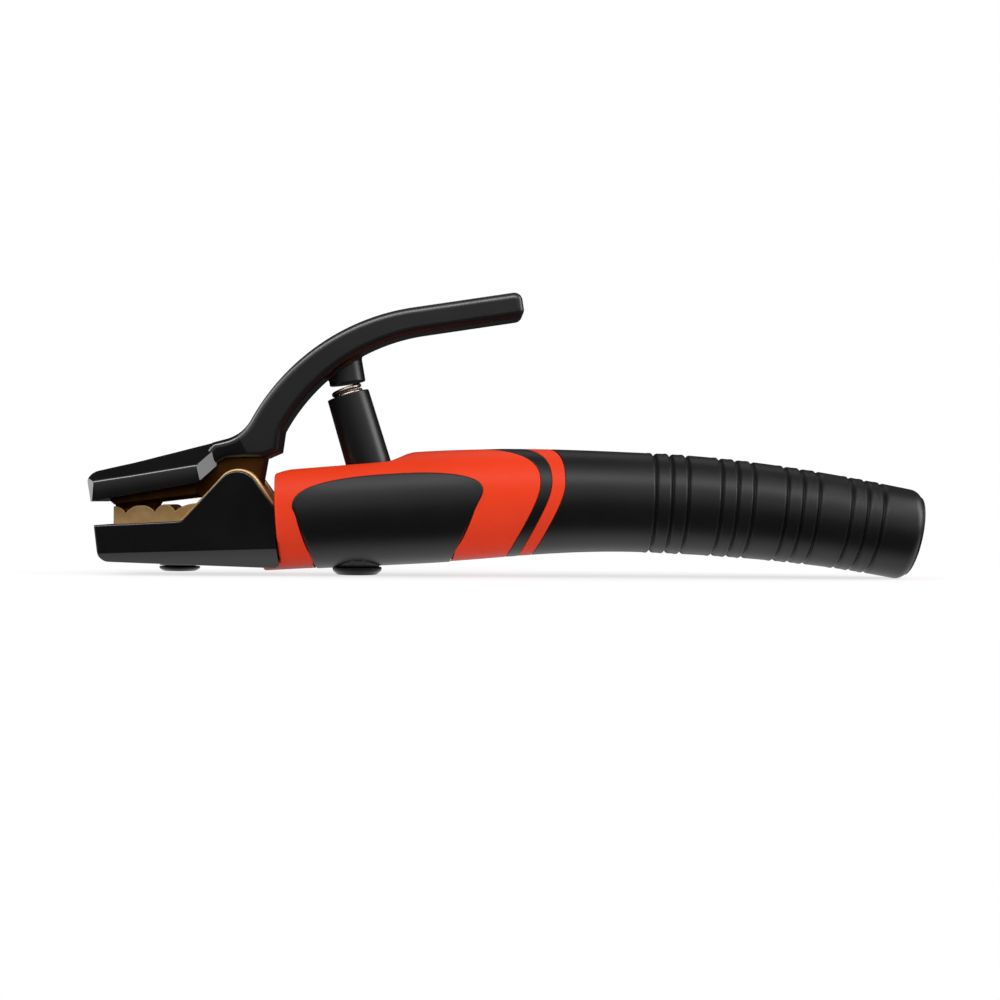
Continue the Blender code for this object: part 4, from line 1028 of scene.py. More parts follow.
    def pad_solid(self, name: str, grow: float, proud: float, edge: float) -> Piece:
        """Saddle round the underside, as a skin through rings from its front to its rear.

        Args:
            name: name of the piece.
            grow: how far it reaches past the pad's own edge and depth.
            proud: how far it stands out of the shell's skin.
            edge: radius of its outer edge.

        Returns:
            The closed saddle.
        """
        rows, columns = 56, 40
        left = [margin - 1 for margin in self.pad_margins]
        middle = [self.pad_middle * (2 * k / columns - 1) for k in range(columns + 1)]
        sides = left + middle + [-v for v in reversed(left)]
        rings = []
        for i in range(rows + 1):
            w = -math.cos(math.pi * i / rows)
            top = [self.pad_point(w, v, grow, self.edge_drop(w, v, edge) - proud) for v in sides]
            low = [self.pad_point(w, v, grow, self.pad_thickness + grow) for v in reversed(sides)]
            rings.append(top + low)
        return ring_skin(name, rings)

    def edge_drop(self, w: float, v: float, edge: float) -> float:
        """How far the rounded outer edge of the saddle lies under its crown.

        Args:
            w: place along the saddle, from -1 to 1.
            v: place across it, from -1 to 1.
            edge: radius of the outer edge.

        Returns:
            The depth.
        """
        end = (1 - abs(w)) * (self.pad_rear[0] - self.pad_front[0]) / 2
        girth = self.form.radius(self.pad_rear[0]) * math.radians(90 + self.pad_crest_angle)
        side = (1 - abs(v)) * girth
        return edge - quarter(edge, min(end, side)) if edge else 0.0

    def pad_point(self, w: float, v: float, grow: float, inset: float) -> Vector:
        """Point of the saddle.

        Args:
            w: place along the saddle, from -1 to 1.
            v: place across it, from -1 to 1.
            grow: how far it reaches past the pad's own edge.
            inset: depth under the shell's skin.

        Returns:
            The point in the world.
        """
        power = self.pad_crest_power
        bulge = max(0.0, 1 - abs(w) ** power) ** (1 / power)
        crest = self.pad_side_angle + (self.pad_crest_angle - self.pad_side_angle) * bulge
        radius = self.form.radii[1][1]
        spread = math.radians(crest + 90) + grow / radius
        first = self.pad_front[0] - self.pad_front[1] * v * v - grow
        last = self.pad_rear[0] + self.pad_rear[1] * radius * (1 - math.cos(v * spread)) + grow
        distance = first + (last - first) * (w + 1) / 2
        return self.form.point(distance, v * spread - math.pi / 2, self.form.radius(distance) - inset)

    def pad(self) -> Piece:
        """Soft saddle with the flared foot that the screw's head seats on.

        Returns:
            The new piece.
        """
        piece = self.pad_solid("grip_pad_soft", 0.0, self.pad_proud, self.pad_edge)
        low = self.screw_point() + Vector((0, 0, self.screw_head[1] + TIGHT_GAP))
        radius, flare = self.pad_foot
        height = self.pad_thickness - TIGHT_GAP
        corners = [(0, 0, 0), (radius, 0, self.pad_edge), (flare, height, 0), (0, height, 0)]
        foot = turned("foot", rounded(corners, 4), Matrix.Translation(low), AROUND_SCREW)
        combine(piece, Operation.JOIN, foot)
        return combine(piece, Operation.CUT, drill(low, self.screw_shank[0]))

    def screw_point(self) -> Vector:
        """Middle of the underside of the handle screw's head."""
        centre, _ = self.form.axis(self.screw_at)
        return Vector((centre.x, 0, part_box("handle_screw")[0].z))

    def band(self) -> Piece:
        """Soft stripe in its groove.

        Returns:
            The new piece.
        """
        form = self.form
        front, rear = self.edge(self.band_front), self.edge(self.band_rear)
        near, far = shifted(front, TIGHT_GAP), shifted(rear, -TIGHT_GAP)
        thin, deep = self.groove_edge, self.stripe_depth - TIGHT_GAP
        rings = [form.ring(near, deep), form.ring(near, thin), form.ring(shifted(near, thin), 0)]
        rings += [form.ring(between(near, far, 0.5), -thin / 4)]
        rings += [form.ring(shifted(far, -thin), 0), form.ring(far, thin), form.ring(far, deep)]
        return ring_skin("grip_band_soft", rings, Ends.JOINED)

    def groove_rings(self) -> list[Ring]:
        """Rings of the groups of grooves: a low lip in front of each, and a round rib between two.

        Returns:
            The rings, from front to rear.
        """
        lip, deep = self.lip_height, self.groove_depth
        profile = (
            (-0.0022, 0.0), (-0.0016, -lip), (-0.0010, -lip),
            (-0.0006, 0.25 * deep), (-0.0003, 0.8 * deep), (0.0, deep),
            (0.0003, 0.8 * deep), (0.0006, 0.25 * deep), (0.0010, 0.0), (0.0015, 0.0),
        )
        rings = []
        for group in range(self.groove_groups):
            for groove in range(self.group_grooves):
                place = self.groove_first + group * self.group_pitch + groove * self.groove_pitch
                rings += [self.form.ring(level(place + x), inset) for x, inset in profile]
            middle = place + (self.group_pitch - (self.group_grooves - 1) * self.groove_pitch) / 2
            rings.append(self.form.ring(level(middle), 0))
        return rings

    def sleeve(self) -> Piece:
        """Soft ribbed rear grip with a rolled end.

        Returns:
            The new piece.
        """
        form = self.form
        front = shifted(self.edge(self.sleeve_front), TIGHT_GAP)
        thin, deep = self.groove_edge, self.sleeve_thickness - TIGHT_GAP
        behind, steps = self.behind, 6
        rings = [form.ring(front, deep), form.ring(front, thin), form.ring(shifted(front, thin), 0)]
        for k in range(1, steps + 1):
            rings.append(form.ring(between(shifted(front, 2 * thin), level(behind), k / steps), 0))
        rings += [form.ring(level(behind + self.sleeve_step * k), 0) for k in range(1, steps)]
        rings += self.groove_rings()
        for k in range(steps + 1):
            angle = math.pi / 2 * k / steps
            inset = self.end_edge * (1 - math.cos(angle))
            back = form.length - self.end_edge * (1 - math.sin(angle))
            rings.append(form.ring(level(back), min(inset, self.end_inset)))
        inner_steps = 8
        for k in range(inner_steps, -1, -1):
            rings.append(form.ring(level(behind + (form.length - behind) * k / inner_steps), deep))
        return ring_skin("grip_sleeve_soft", rings, Ends.JOINED)

    def build(self) -> None:
        """Model and dress the pieces of the handle."""
        dress(self.shell(), RED_NYLON, Slot.RED, Body.HOLDER, "handle_shell")
        dress(self.pad(), SOFT_RUBBER, Slot.GRIP, Body.HOLDER, "grip_pad")
        dress(self.band(), SOFT_RUBBER, Slot.GRIP, Body.HOLDER, "grip_band")
        dress(self.sleeve(), SOFT_RUBBER, Slot.GRIP, Body.HOLDER, "grip_sleeve")
        screw = socket_screw("handle_screw_black", self.screw_point(), self.screw_head, self.screw_shank)
        dress(screw, BLACK_ZINC, Slot.SCREW, Body.HOLDER, "handle_screw")


# Hexagon socket of a round head: radius, depth and depth at its tip
SCREW_KEY = (0.0024, 0.0012, 0.0018)


def socket_screw(name: str, low: Vector, head: Pair, shank: Pair) -> Piece:
    """Low round head under a shank, with a hexagon socket in its underside.

    Args:
        name: name of the piece.
        low: middle of the head's underside.
        head: radius and height of the head.
        shank: radius and length of the shank.

    Returns:
        The new piece.
    """
    foot_share, side_share = 0.80, 0.55
    foot_edge, side_edge, seat_edge, end_edge = 0.0008, 0.0012, 0.0002, 0.0004
    place = Matrix.Translation(low)
    top = head[1] + shank[1]
    corners = [
        (0, 0, 0), (head[0] * foot_share, 0, foot_edge), (head[0], head[1] * side_share, side_edge),
        (head[0], head[1], seat_edge), (shank[0], head[1], 0), (shank[0], top, end_edge), (0, top, 0),
    ]
    piece = turned(name, rounded(corners, 5), place, AROUND_SCREW)
    return combine(piece, Operation.CUT, key_cutter(place, SCREW_KEY))


# Jaws

@dataclass
class LowerJaw:
    """Brass lower jaw in its black cover, with the pin and the cable clamp."""

    form: HandleForm = field(default_factory=HandleForm)
    half_width: float = 0.0150
    wall: float = 0.0027
    floor: float = 0.0038
    bottom: float = -0.0234
    nose_rise: float = 0.0019
    nose_reach: float = 0.0430
    nose_wall: float = 0.0048
    nose_rake: float = 7.0
    nose_radius: float = 0.0030
    rim_front: float = -0.0105
    rim_rear: float = -0.0091
    chamfer: float = 0.0052
    chamfer_slope: float = 0.033
    edge: float = 0.0005
    nose_edge: float = 0.0012
    rim_edge: float = 0.0006
    ear_radius: float = 0.0062
    ear_front: float = 47.6
    ear_rear: float = 53.7
    cheek_thickness: float = 0.0045
    cheek_rim: float = 0.0007
    cheek_edge: float = 0.0006
    keel_groove: Pair = (0.0046, 0.0018)
    base_height: float = 0.0082
    teeth_half_width: float = 0.0100
    crest: float = -0.0048
    teeth_slope: float = 2.6
    teeth_length: float = 0.0256
    notch_depth: float = 0.0021
    notches: tuple[float, ...] = (0.0037, 0.01246, 0.01856)
    tooth_power: float = 2.5
    mouth_gap: float = 0.0005
    # Tang as (half width, height, reach), neck as (radius, length), socket as (radius, length, bore)
    tang: Corner = (0.0085, 0.0090, 0.0060)
    neck: Pair = (0.0115, 0.0395)
    socket: Corner = (0.0110, 0.0250, 0.0075)
    tang_drop: float = 0.0068
    seat_radius: float = 0.0070
    seat_flat: Pair = (0.0195, 0.0400)
    pin_radius: float = 0.0030
    pin_edge: float = 0.0004
    screw_reach: float = 0.0193
    screw_head_radius: float = 0.0062
    screw_seat: float = -0.0229
    screw_boss_edge: float = 0.0004
    screw_shank: Pair = (0.0025, 0.0100)
    grub_radius: float = 0.0030
    grub_edge: float = 0.0005
    grub_key: Corner = (0.0015, 0.0020, 0.0025)
    grub_length: float = 0.0060
    grub_first: float = 0.0070
    grub_pitch: float = 0.0110
    clamp: Corner = (0.0054, 0.0010, 0.0210)
    clamp_edge: float = 0.0002

    @property
    def cheek_outer(self) -> float:
        """Half width over the cheeks."""
        return self.half_width - self.wall - SEAT_GAP

    @property
    def cheek_inner(self) -> float:
        """Half width between the cheeks."""
        return self.cheek_outer - self.cheek_thickness

    @property
    def front_x(self) -> float:
        """Front of the jaw, behind the nose of its cover."""
        return -self.nose_reach + self.nose_wall + SEAT_GAP

    def teeth_z(self, x: float) -> float:
        """Crest line of the teeth."""
        return self.crest + (x - self.front_x) * math.tan(math.radians(self.teeth_slope))

    def rim_z(self, x: float) -> float:
        """Top edge of the cover: its rim, then the ear over the pivot.

        Args:
            x: place from the pivot.

        Returns:
            The height from the pivot.
        """
        radius = self.ear_radius
        start = polar((0, 0), radius, 90 + self.ear_front)
        end = polar((0, 0), radius, 90 - self.ear_rear)
        if x < start[0]:
            ear = at_x(start, self.ear_front, x)[1]
        elif x > end[0]:
            ear = at_x(end, -self.ear_rear, x)[1]
        else:
            ear = math.sqrt(radius ** 2 - x ** 2)
        foot_x = at_height(start, self.ear_front, self.rim_rear)[0]
        share = (x + self.nose_reach) / (foot_x + self.nose_reach)
        rim = self.rim_front + (self.rim_rear - self.rim_front) * share
        return -soft_min(-rim, -ear, self.rim_edge)

    def cover_ring(self, x: float) -> Ring:
        """Cross-section of the cover, chamfered below and rounded at the nose.

        Args:
            x: place from the pivot.

        Returns:
            The ring.
        """
        back = x + self.nose_reach
        rear_x = self.form.rim_x(self.bottom, SEAT_GAP)
        rise = self.nose_rise * (rear_x - x) / (rear_x + self.nose_reach)
        keel = self.bottom + rise + self.nose_radius - quarter(self.nose_radius, back)
        wide = self.half_width - self.nose_edge + quarter(self.nose_edge, back)
        lean = self.bottom + self.chamfer + self.chamfer_slope * (x + self.screw_reach) - self.half_width
        edge_z = max(wide + lean, keel + self.edge)
        edge_y = min(keel - lean, wide - self.edge)
        edge = self.edge
        right = [(wide, self.rim_z(x), self.rim_edge), (wide, edge_z, edge), (edge_y, keel, edge)]
        ring = section(x, right + [(-y, z, radius) for y, z, radius in reversed(right)])
        fade = max(0.0, 1 - back / self.nose_wall / 2)
        rake = math.tan(math.radians(self.nose_rake)) * fade
        for point in ring:
            point.x += (PIVOT.z + self.rim_front - point.z) * rake
        return ring

    def cover(self) -> Piece:
        """Black cover: a skin through cross-sections, hollow above, with an ear on each side.

        Returns:
            The new piece.
        """
        steps = 8
        nose = [self.nose_radius * (1 - math.cos(math.pi / 2 * k / steps)) for k in range(steps)]
        rear = self.form.rim_x(self.bottom, SEAT_GAP) + self.edge + self.nose_reach
        count = 96
        body = [self.nose_radius + (rear - self.nose_radius) * k / count for k in range(count + 1)]
        rings = [self.cover_ring(back - self.nose_reach) for back in nose + body]
        piece = ring_skin("lower_jaw_cover_black", rings)
        rim = PIVOT + Vector((self.form.rim_x(self.bottom, SEAT_GAP), 0, self.bottom))
        pitch = math.radians(self.form.pitch)
        bisect(piece, rim, Vector((math.cos(pitch), 0, math.sin(pitch))))
        floor_z = self.bottom + self.floor
        inside = self.cheek_outer + SEAT_GAP
        far_x, high_z = self.form.front[0] + OVERCUT, OVERCUT
        front_x = self.front_x - SEAT_GAP
        channel = [(front_x, floor_z), (far_x, floor_z), (far_x, high_z), (front_x, high_z)]
        seat = PIVOT + Vector((-self.screw_reach, 0, self.screw_seat))
        inner = seat + Vector((0, 0, self.floor))
        boss = rod("boss", seat, inner, self.screw_head_radius, self.screw_boss_edge)
        combine(piece, Operation.JOIN, boss)
        room = plate("channel", channel, -inside, inside)
        return combine(piece, Operation.CUT, room, self.lip_relief(), drill(seat, self.screw_shank[0]))

    def lip_relief(self) -> Piece:
        """Cutter that makes room under the cover for the tongue of the shell's rim.

        Returns:
            The cutter.
        """
        form = self.form
        depth = form.lip_thickness + SEAT_GAP
        edge = shifted(form.lip, -SEAT_GAP)
        rings = [
            form.ring(edge, depth), form.ring(edge, -OVERCUT), form.ring(level(OVERCUT), -OVERCUT),
            form.ring(level(OVERCUT), depth),
        ]
        return ring_skin("relief", rings, Ends.JOINED)

    def teeth_outline(self) -> list[Pair]:
        """Scalloped gripping edge with V notches, over a foot inside the jaw's base.

        Returns:
            The closed outline.
        """
        front = self.front_x
        rear = front + self.teeth_length
        foot = self.foot_z
        places = [front + notch for notch in self.notches]
        edges = [2 * front - places[0]] + places + [2 * rear - places[-1]]
        outline = [(front, foot), (front, self.teeth_z(front))]
        steps = 20
        for start, end in zip(edges, edges[1:]):
            for k in range(1, steps + 1):
                x = start + (end - start) * k / steps
                sag = self.notch_depth * abs(2 * k / steps - 1) ** self.tooth_power
                if front < x < rear:
                    outline.append((x, self.teeth_z(x) - sag))
        return outline + [(rear, self.teeth_z(rear)), (rear, foot)]

    def neck_piece(self) -> Piece:
        """Round neck and cable socket along the handle's axis, with the cable bore.

        Returns:
            The neck, to be joined to the jaw.
        """
        form = self.form
        end = self.neck[1] + self.socket[1]
        rings = [
            form.bore(SEAT_GAP, self.neck[0]), form.bore(self.neck[1], self.neck[0]),
            form.bore(self.neck[1], self.socket[0]), form.bore(end, self.socket[0]),
            form.bore(end, self.socket[2]), form.bore(self.neck[1], self.socket[2]),
        ]
        return ring_skin("neck", rings)

    @property
    def foot_z(self) -> float:
        """Foot of the teeth and the cheeks, inside the jaw's base."""
        return self.bottom + self.floor + self.base_height / 2

    def base_outline(self) -> list[Pair]:
        """Side view of the base, whose rear follows the rim of the handle.

        Returns:
            The closed outline.
        """
        low = self.bottom + self.floor + SEAT_GAP
        high = low + self.base_height
        rear = [(self.form.rim_x(z, SEAT_GAP), z) for z in (low, high)]
        return [(self.front_x, low), *rear, (self.front_x, high)]

    def cheek_outline(self) -> list[Pair]:
        """Side view of a cheek: straight flanks and a round top, a rim over the ear of the cover.

        Returns:
            The closed outline.
        """
        radius = self.ear_radius + self.cheek_rim
        start = polar((0, 0), radius, 90 + self.ear_front)
        end = polar((0, 0), radius, 90 - self.ear_rear)
        rear = at_x(end, -self.ear_rear, self.form.rim_x(0, SEAT_GAP))
        rear = at_x(end, -self.ear_rear, self.form.rim_x(rear[1], SEAT_GAP))
        top = arc((0, 0), radius, 90 + self.ear_front, 90 - self.ear_rear, 36)
        foot = (self.form.rim_x(self.foot_z, SEAT_GAP), self.foot_z)
        return [at_height(start, self.ear_front, self.foot_z), *top, rear, foot]

    def tang_outline(self) -> list[Pair]:
        """Side view of the tang that joins base and neck.

        Returns:
            The closed outline.
        """
        low = self.form.front[1] - self.tang_drop
        high = low + self.tang[1]
        near, far = self.form.front[0] - self.tang[2] / 2, self.form.front[0] + self.tang[2]
        return [(near, low), (far, low), (far, high), (near, high)]

    def seat_cutters(self) -> list[Piece]:
        """Cutters of the flat and the round seat that the guard tube rocks on.

        Returns:
            The ball and the flat block.
        """
        x, y = (size / 2 for size in self.seat_flat)
        low = SEAT + Vector((0, 0, -SEAT_GAP))
        corners = ((-x, -y), (x, -y), (x, y), (-x, y))
        flat = [[low + Vector((*corner, z)) for corner in corners] for z in (0.0, OVERCUT)]
        deselect_all()
        bpy.ops.mesh.primitive_uv_sphere_add(
            segments=AROUND_SCREW, ring_count=AROUND_SCREW // 2, radius=self.seat_radius + SEAT_GAP,
            location=SEAT,
        )
        return [bpy.context.object, ring_skin("flat", flat)]

    def jaw(self) -> Piece:
        """Brass jaw: base, teeth, two cheeks, neck and cable socket.

        Returns:
            The new piece.
        """
        outer, inner = self.cheek_outer, self.cheek_inner
        piece = cast_plate("lower_jaw_brass", self.base_outline(), outer - TIGHT_GAP)
        cheek = self.cheek_outline()
        combine(
            piece, Operation.JOIN,
            cast_plate("teeth", self.teeth_outline(), self.teeth_half_width),
            soft_plate("cheek", cheek, inner, outer, self.cheek_edge, 4),
            soft_plate("cheek", cheek, -outer, -inner, self.cheek_edge, 4),
            plate("tang", self.tang_outline(), -self.tang[0], self.tang[0]),
            self.neck_piece(),
        )
        ball, flat = self.seat_cutters()
        hole = pin_drill(self.pin_radius + SEAT_GAP, outer)
        return combine(piece, Operation.CUT, flat, ball, hole, self.groove_cutter())

    def groove_cutter(self) -> Piece:
        """Cutter of the groove along the teeth that the keel of the upper jaw runs in.

        Returns:
            The cutter.
        """
        half, depth = self.keel_groove
        front, rear = self.front_x - OVERCUT, self.front_x + self.teeth_length + self.mouth_gap
        outline = [(x, self.teeth_z(x) - depth) for x in (front, rear)]
        outline += [(x, self.teeth_z(x) + depth) for x in (rear, front)]
        return plate("groove", outline, -half, half)

    def grub_screw(self, name: str, number: int) -> Piece:
        """Grub screw on the upper side of the cable socket, with a hexagon socket.

        Args:
            name: name of the piece.
            number: 0 for the front screw, 1 for the rear.

        Returns:
            The new piece.
        """
        distance = self.neck[1] + self.grub_first + number * self.grub_pitch
        top = self.socket[0] - SEAT_GAP
        outer = self.form.point(distance, math.pi / 2, top)
        inner = self.form.point(distance, math.pi / 2, top - self.grub_length)
        piece = rod(name, inner, outer, self.grub_radius, self.grub_edge)
        key = key_cutter(aimed(outer, inner - outer), self.grub_key)
        return combine(piece, Operation.CUT, key)

    def clamp_plate(self) -> Piece:
        """Flat copper strip across the cable bore, under the grub screws.

        Returns:
            The new piece.
        """
        half, thick, length = self.clamp
        start = self.neck[1] + self.grub_first - (length - self.grub_pitch) / 2
        top = self.socket[0] - self.grub_length - 2 * SEAT_GAP
        rings = []
        for distance in (start, start + length):
            centre, slope = self.form.axis(distance)
            up = Vector((-math.sin(slope), 0, math.cos(slope)))
            corners = ((-half, top), (half, top), (half, top - thick), (-half, top - thick))
            rings.append([centre + up * height + Vector((0, y, 0)) for y, height in corners])
        piece = ring_skin("cable_clamp_plate_copper", rings)
        apply_modifier(piece, "BEVEL", width=self.clamp_edge, segments=2, limit_method="ANGLE")
        return piece

    def build(self) -> None:
        """Model and dress the pieces of the lower jaw."""
        dress(self.jaw(), CAST_BRASS, Slot.BRASS, Body.HOLDER, "lower_jaw")
        dress(self.cover(), GLOSS_PHENOLIC, Slot.COVER, Body.HOLDER, "lower_jaw_cover")
        low = Vector((PIVOT.x - self.screw_reach, 0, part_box("lower_cover_screw")[0].z))
        head = (self.screw_head_radius, PIVOT.z + self.screw_seat - SEAT_GAP - low.z)
        screw = socket_screw("lower_cover_screw_black", low, head, self.screw_shank)
        dress(screw, BLACK_ZINC, Slot.SCREW, Body.HOLDER, "lower_cover_screw")
        reach = Vector((0, self.cheek_outer, 0))
        pin = rod("pivot_pin_steel", PIVOT - reach, PIVOT + reach, self.pin_radius, self.pin_edge)
        dress(pin, DRAWN_STEEL, Slot.STEEL, Body.HOLDER, "pivot_pin")
        for number, node in enumerate(("cable_screw_front", "cable_screw_rear")):
            dress(self.grub_screw(node + "_steel", number), DRAWN_STEEL, Slot.STEEL, Body.HOLDER, node)
        dress(self.clamp_plate(), ROLLED_COPPER, Slot.COPPER, Body.HOLDER, "cable_clamp_plate")


@dataclass
class Lever:
    """Upper jaw with its cover, and the lever that opens it."""

    jaw: LowerJaw = field(default_factory=LowerJaw)
    tongue_half_width: float = 0.0100
    tongue_lead: float = 0.0011
    tongue_length: float = 0.0251
    tongue_slope: float = 7.6
    tongue_height: float = 0.0050
    tongue_tip: float = 0.0013
    keel_half_width: float = 0.0040
    # (distance behind the jaw's front, height over the lower teeth) along the keel
    keel_steps: tuple[Pair, ...] = (
        (0.0, -0.0009), (0.0116, -0.0009), (0.0126, 0.0008), (0.0250, 0.0018),
    )
    hub_radius: float = 0.0062
    hub_arc: Pair = (225, 380)
    hub_overlap: float = 0.0020
    hub_inset: float = 0.0006
    # Half width and half thickness of the arm
    arm: Pair = (0.0055, 0.0025)
    arm_setback: float = 0.0180
    roof_half_width: float = 0.0140
    nose_x: float = -0.0445
    nose_radius: float = 0.0040
    nose_low: float = -0.0034
    lower_slope: float = 10.3
    nose_height: float = 0.0087
    top_slope: float = 15.3
    shoulder_height: float = 0.0056
    shoulder_slope: float = 9.9
    roof_pitch: float = 34.5
    roof_length: float = 0.0374
    # Planes that cut the roof's corners as (x, z, turn, lean)
    rear_facet: tuple[float, ...] = (-0.0126, 0.0085, 46.6, 13.0)
    nose_facet: tuple[float, ...] = (-0.0434, -0.0010, -45.0, -4.2)
    nose_rake: float = 13.0
    rake_height: float = 0.0020
    rake_length: float = 0.0120
    ear_gap: float = 0.0036
    roof_step: float = 0.0002
    roof_edge: float = 0.0006
    shoulder_cut: float = 0.00065
    low_edge: float = 0.0004
    neck_share: float = 0.96
    neck_toe: float = 0.0090
    collar_angles: Pair = (112, 125)
    half_width: float = 0.0088
    # Thickness at the root and at the tail
    thickness: Pair = (0.0100, 0.0080)
    bend_radius: float = 0.0640
    centre: Pair = (0.0642, -0.0100)
    rise: float = 61.0
    tail_angle: float = 9.0
    tail_length: float = 0.0324
    root_length: float = 0.0063
    # Corners of the lever's foot, and a point of the joint between lever and cover
    heel: Pair = (0.0117, 0.0122)
    sole: Pair = (0.0070, 0.0101)
    split: Pair = (0.0030, 0.0101)
    split_slope: float = 118.4
    lever_edge: float = 0.0022
    end_radius: float = 0.0026
    throat_radius: float = 0.0120
    boss_radius: float = 0.0056
    boss_height: float = 0.0321
    boss_offset: float = 0.0009
    boss_lean: float = 7.0
    boss_fillet: float = 0.0018
    boss_sink: float = 0.00005
    boss_edge: float = 0.0005
    boss_straight: float = 0.0040
    boss_root: float = 0.0010
    boss_reach: float = 0.0300
    screw_reach: float = 0.0290
    screw_head_radius: float = 0.0034
    screw_radius: float = 0.0018
    screw_length: float = 0.0105
    screw_rim: float = 0.0002
    screw_key: Corner = (0.0014, 0.0012, 0.0016)

    def path(self, root: float, tail: float, steps: int = 40) -> list[tuple[Pair, float]]:
        """Mid line from the root to the tail as pairs of point and slope.

        Args:
            root: length of the straight root.
            tail: length of the straight tail.
            steps: segments of the bend.

        Returns:
            The points with their slopes in degrees.
        """
        start = polar(self.centre, self.bend_radius, 90 + self.rise)
        end = polar(self.centre, self.bend_radius, 90 + self.tail_angle)
        path = [(polar(start, root, 180 + self.rise), self.rise)]
        for k in range(steps + 1):
            slope = self.rise + (self.tail_angle - self.rise) * k / steps
            path.append((polar(self.centre, self.bend_radius, 90 + slope), slope))
        path.append((polar(end, tail, self.tail_angle), self.tail_angle))
        return path

    def half_thickness(self, slope: float) -> float:
        """Half of the lever's thickness where its mid line has a slope."""
        share = (self.rise - slope) / (self.rise - self.tail_angle)
        return (self.thickness[0] + (self.thickness[1] - self.thickness[0]) * share) / 2

    def tongue_z(self, x: float) -> float:
        """Underside of the tongue."""
        rise = (x - self.jaw.front_x) * math.tan(math.radians(self.tongue_slope))
        return self.jaw.crest + self.jaw.mouth_gap + rise

    def lower_z(self, x: float) -> float:
        """Lower edge of the cover's nose."""
        return self.nose_low + (x - self.nose_x) * math.tan(math.radians(self.lower_slope))

    def top_z(self, x: float) -> float:
        """Top line of the cover's nose."""
        base = self.nose_low + self.nose_height
        return base + (x - self.nose_x) * math.tan(math.radians(self.top_slope))

    @property
    def collar_radius(self) -> float:
        """Distance from the pivot to the cover's lower edge over the ears."""
        return self.jaw.ear_radius + self.jaw.cheek_rim + self.ear_gap

    def flank(self, gap: float) -> tuple[Pair, Pair]:
        """Top and foot of the cover's edge along the front of the ears, moved in by a gap.

        Args:
            gap: distance from the cover's own edge.

        Returns:
            The top and the foot as (x, z).
        """
        top = polar((0, 0), self.collar_radius + gap, 90 + self.jaw.ear_front)
        nose = (self.nose_x, self.nose_low + gap)
        return top, crossing(top, self.jaw.ear_front, nose, self.lower_slope)

    def arm_outline(self, gap: float) -> list[Pair]:
        """Strip along the lever's mid line.

        Args:
            gap: clearance round the arm.

        Returns:
            The closed outline.
        """
        half = self.arm[1] + gap
        path = self.path(self.root_length, self.tail_length - self.arm_setback + gap, 20)
        upper = [polar(point, half, 90 + slope) for point, slope in path]
        lower = [polar(point, half, slope - 90) for point, slope in path]
        return upper + lower[::-1]

    def hub_outline(self, gap: float) -> list[Pair]:
        """Plate between the cheeks, from the tongue round the pivot and up into the lever.

        Args:
            gap: clearance round the hub.

        Returns:
            The closed outline.
        """
        front = self.jaw.front_x + self.tongue_length - self.hub_overlap
        root, slope = self.path(self.root_length, self.tail_length)[0]
        half = self.arm[1] + self.hub_inset + gap
        heel, crown = polar(root, half, slope - 90), polar(root, half, slope + 90)
        outline = [(front, self.tongue_z(front) + self.hub_inset - gap)]
        outline += arc((0, 0), self.hub_radius + gap, *self.hub_arc, 24)
        outline += [heel, polar(heel, self.arm[1], slope), polar(crown, self.arm[1], slope), crown]
        outline.append((front, self.tongue_z(front) + self.tongue_height - self.hub_inset + gap))
        return outline

    def tongue_outline(self, gap: float) -> list[Pair]:
        """Tongue over the lower teeth, with a chamfered tip.

        Args:
            gap: clearance round the tongue.

        Returns:
            The closed outline.
        """
        front = self.jaw.front_x - self.tongue_lead - gap
        rear = self.jaw.front_x + self.tongue_length + gap
        tip = self.tongue_tip
        return [
            (front, self.tongue_z(front) + tip),
            (front + tip, self.tongue_z(front + tip)),
            (rear, self.tongue_z(rear)),
            (rear, self.tongue_z(rear) + self.tongue_height + gap),
            (front, self.tongue_z(front) + self.tongue_height + gap),
        ]

    def keel_outline(self) -> list[Pair]:
        """Low keel under the tongue, which dips between the lower teeth in front.

        Returns:
            The closed outline.
        """
        front = self.jaw.front_x
        rear = front + self.tongue_length - self.tongue_tip
        outline = [(front + back, self.jaw.teeth_z(front + back) + dip) for back, dip in self.keel_steps]
        outline += [(x, self.tongue_z(x) + self.tongue_tip) for x in (rear, front - self.tongue_tip)]
        return outline

    def upper_jaw(self) -> Piece:
        """Brass jaw with its hub and the arm inside the lever.

        Returns:
            The new piece.
        """
        half = self.jaw.cheek_inner - SEAT_GAP
        piece = cast_plate("upper_jaw_brass", self.hub_outline(0), half)
        tongue = cast_plate("tongue", self.tongue_outline(0), self.tongue_half_width)
        keel = cast_plate("keel", self.keel_outline(), self.keel_half_width)
        arm = plate("arm", self.arm_outline(0), -self.arm[0], self.arm[0])
        combine(piece, Operation.JOIN, tongue, keel, arm)
        hole = pin_drill(self.jaw.pin_radius + SEAT_GAP, half)
        return combine(piece, Operation.CUT, hole, self.cover_screw("hole", SEAT_GAP, OVERCUT))

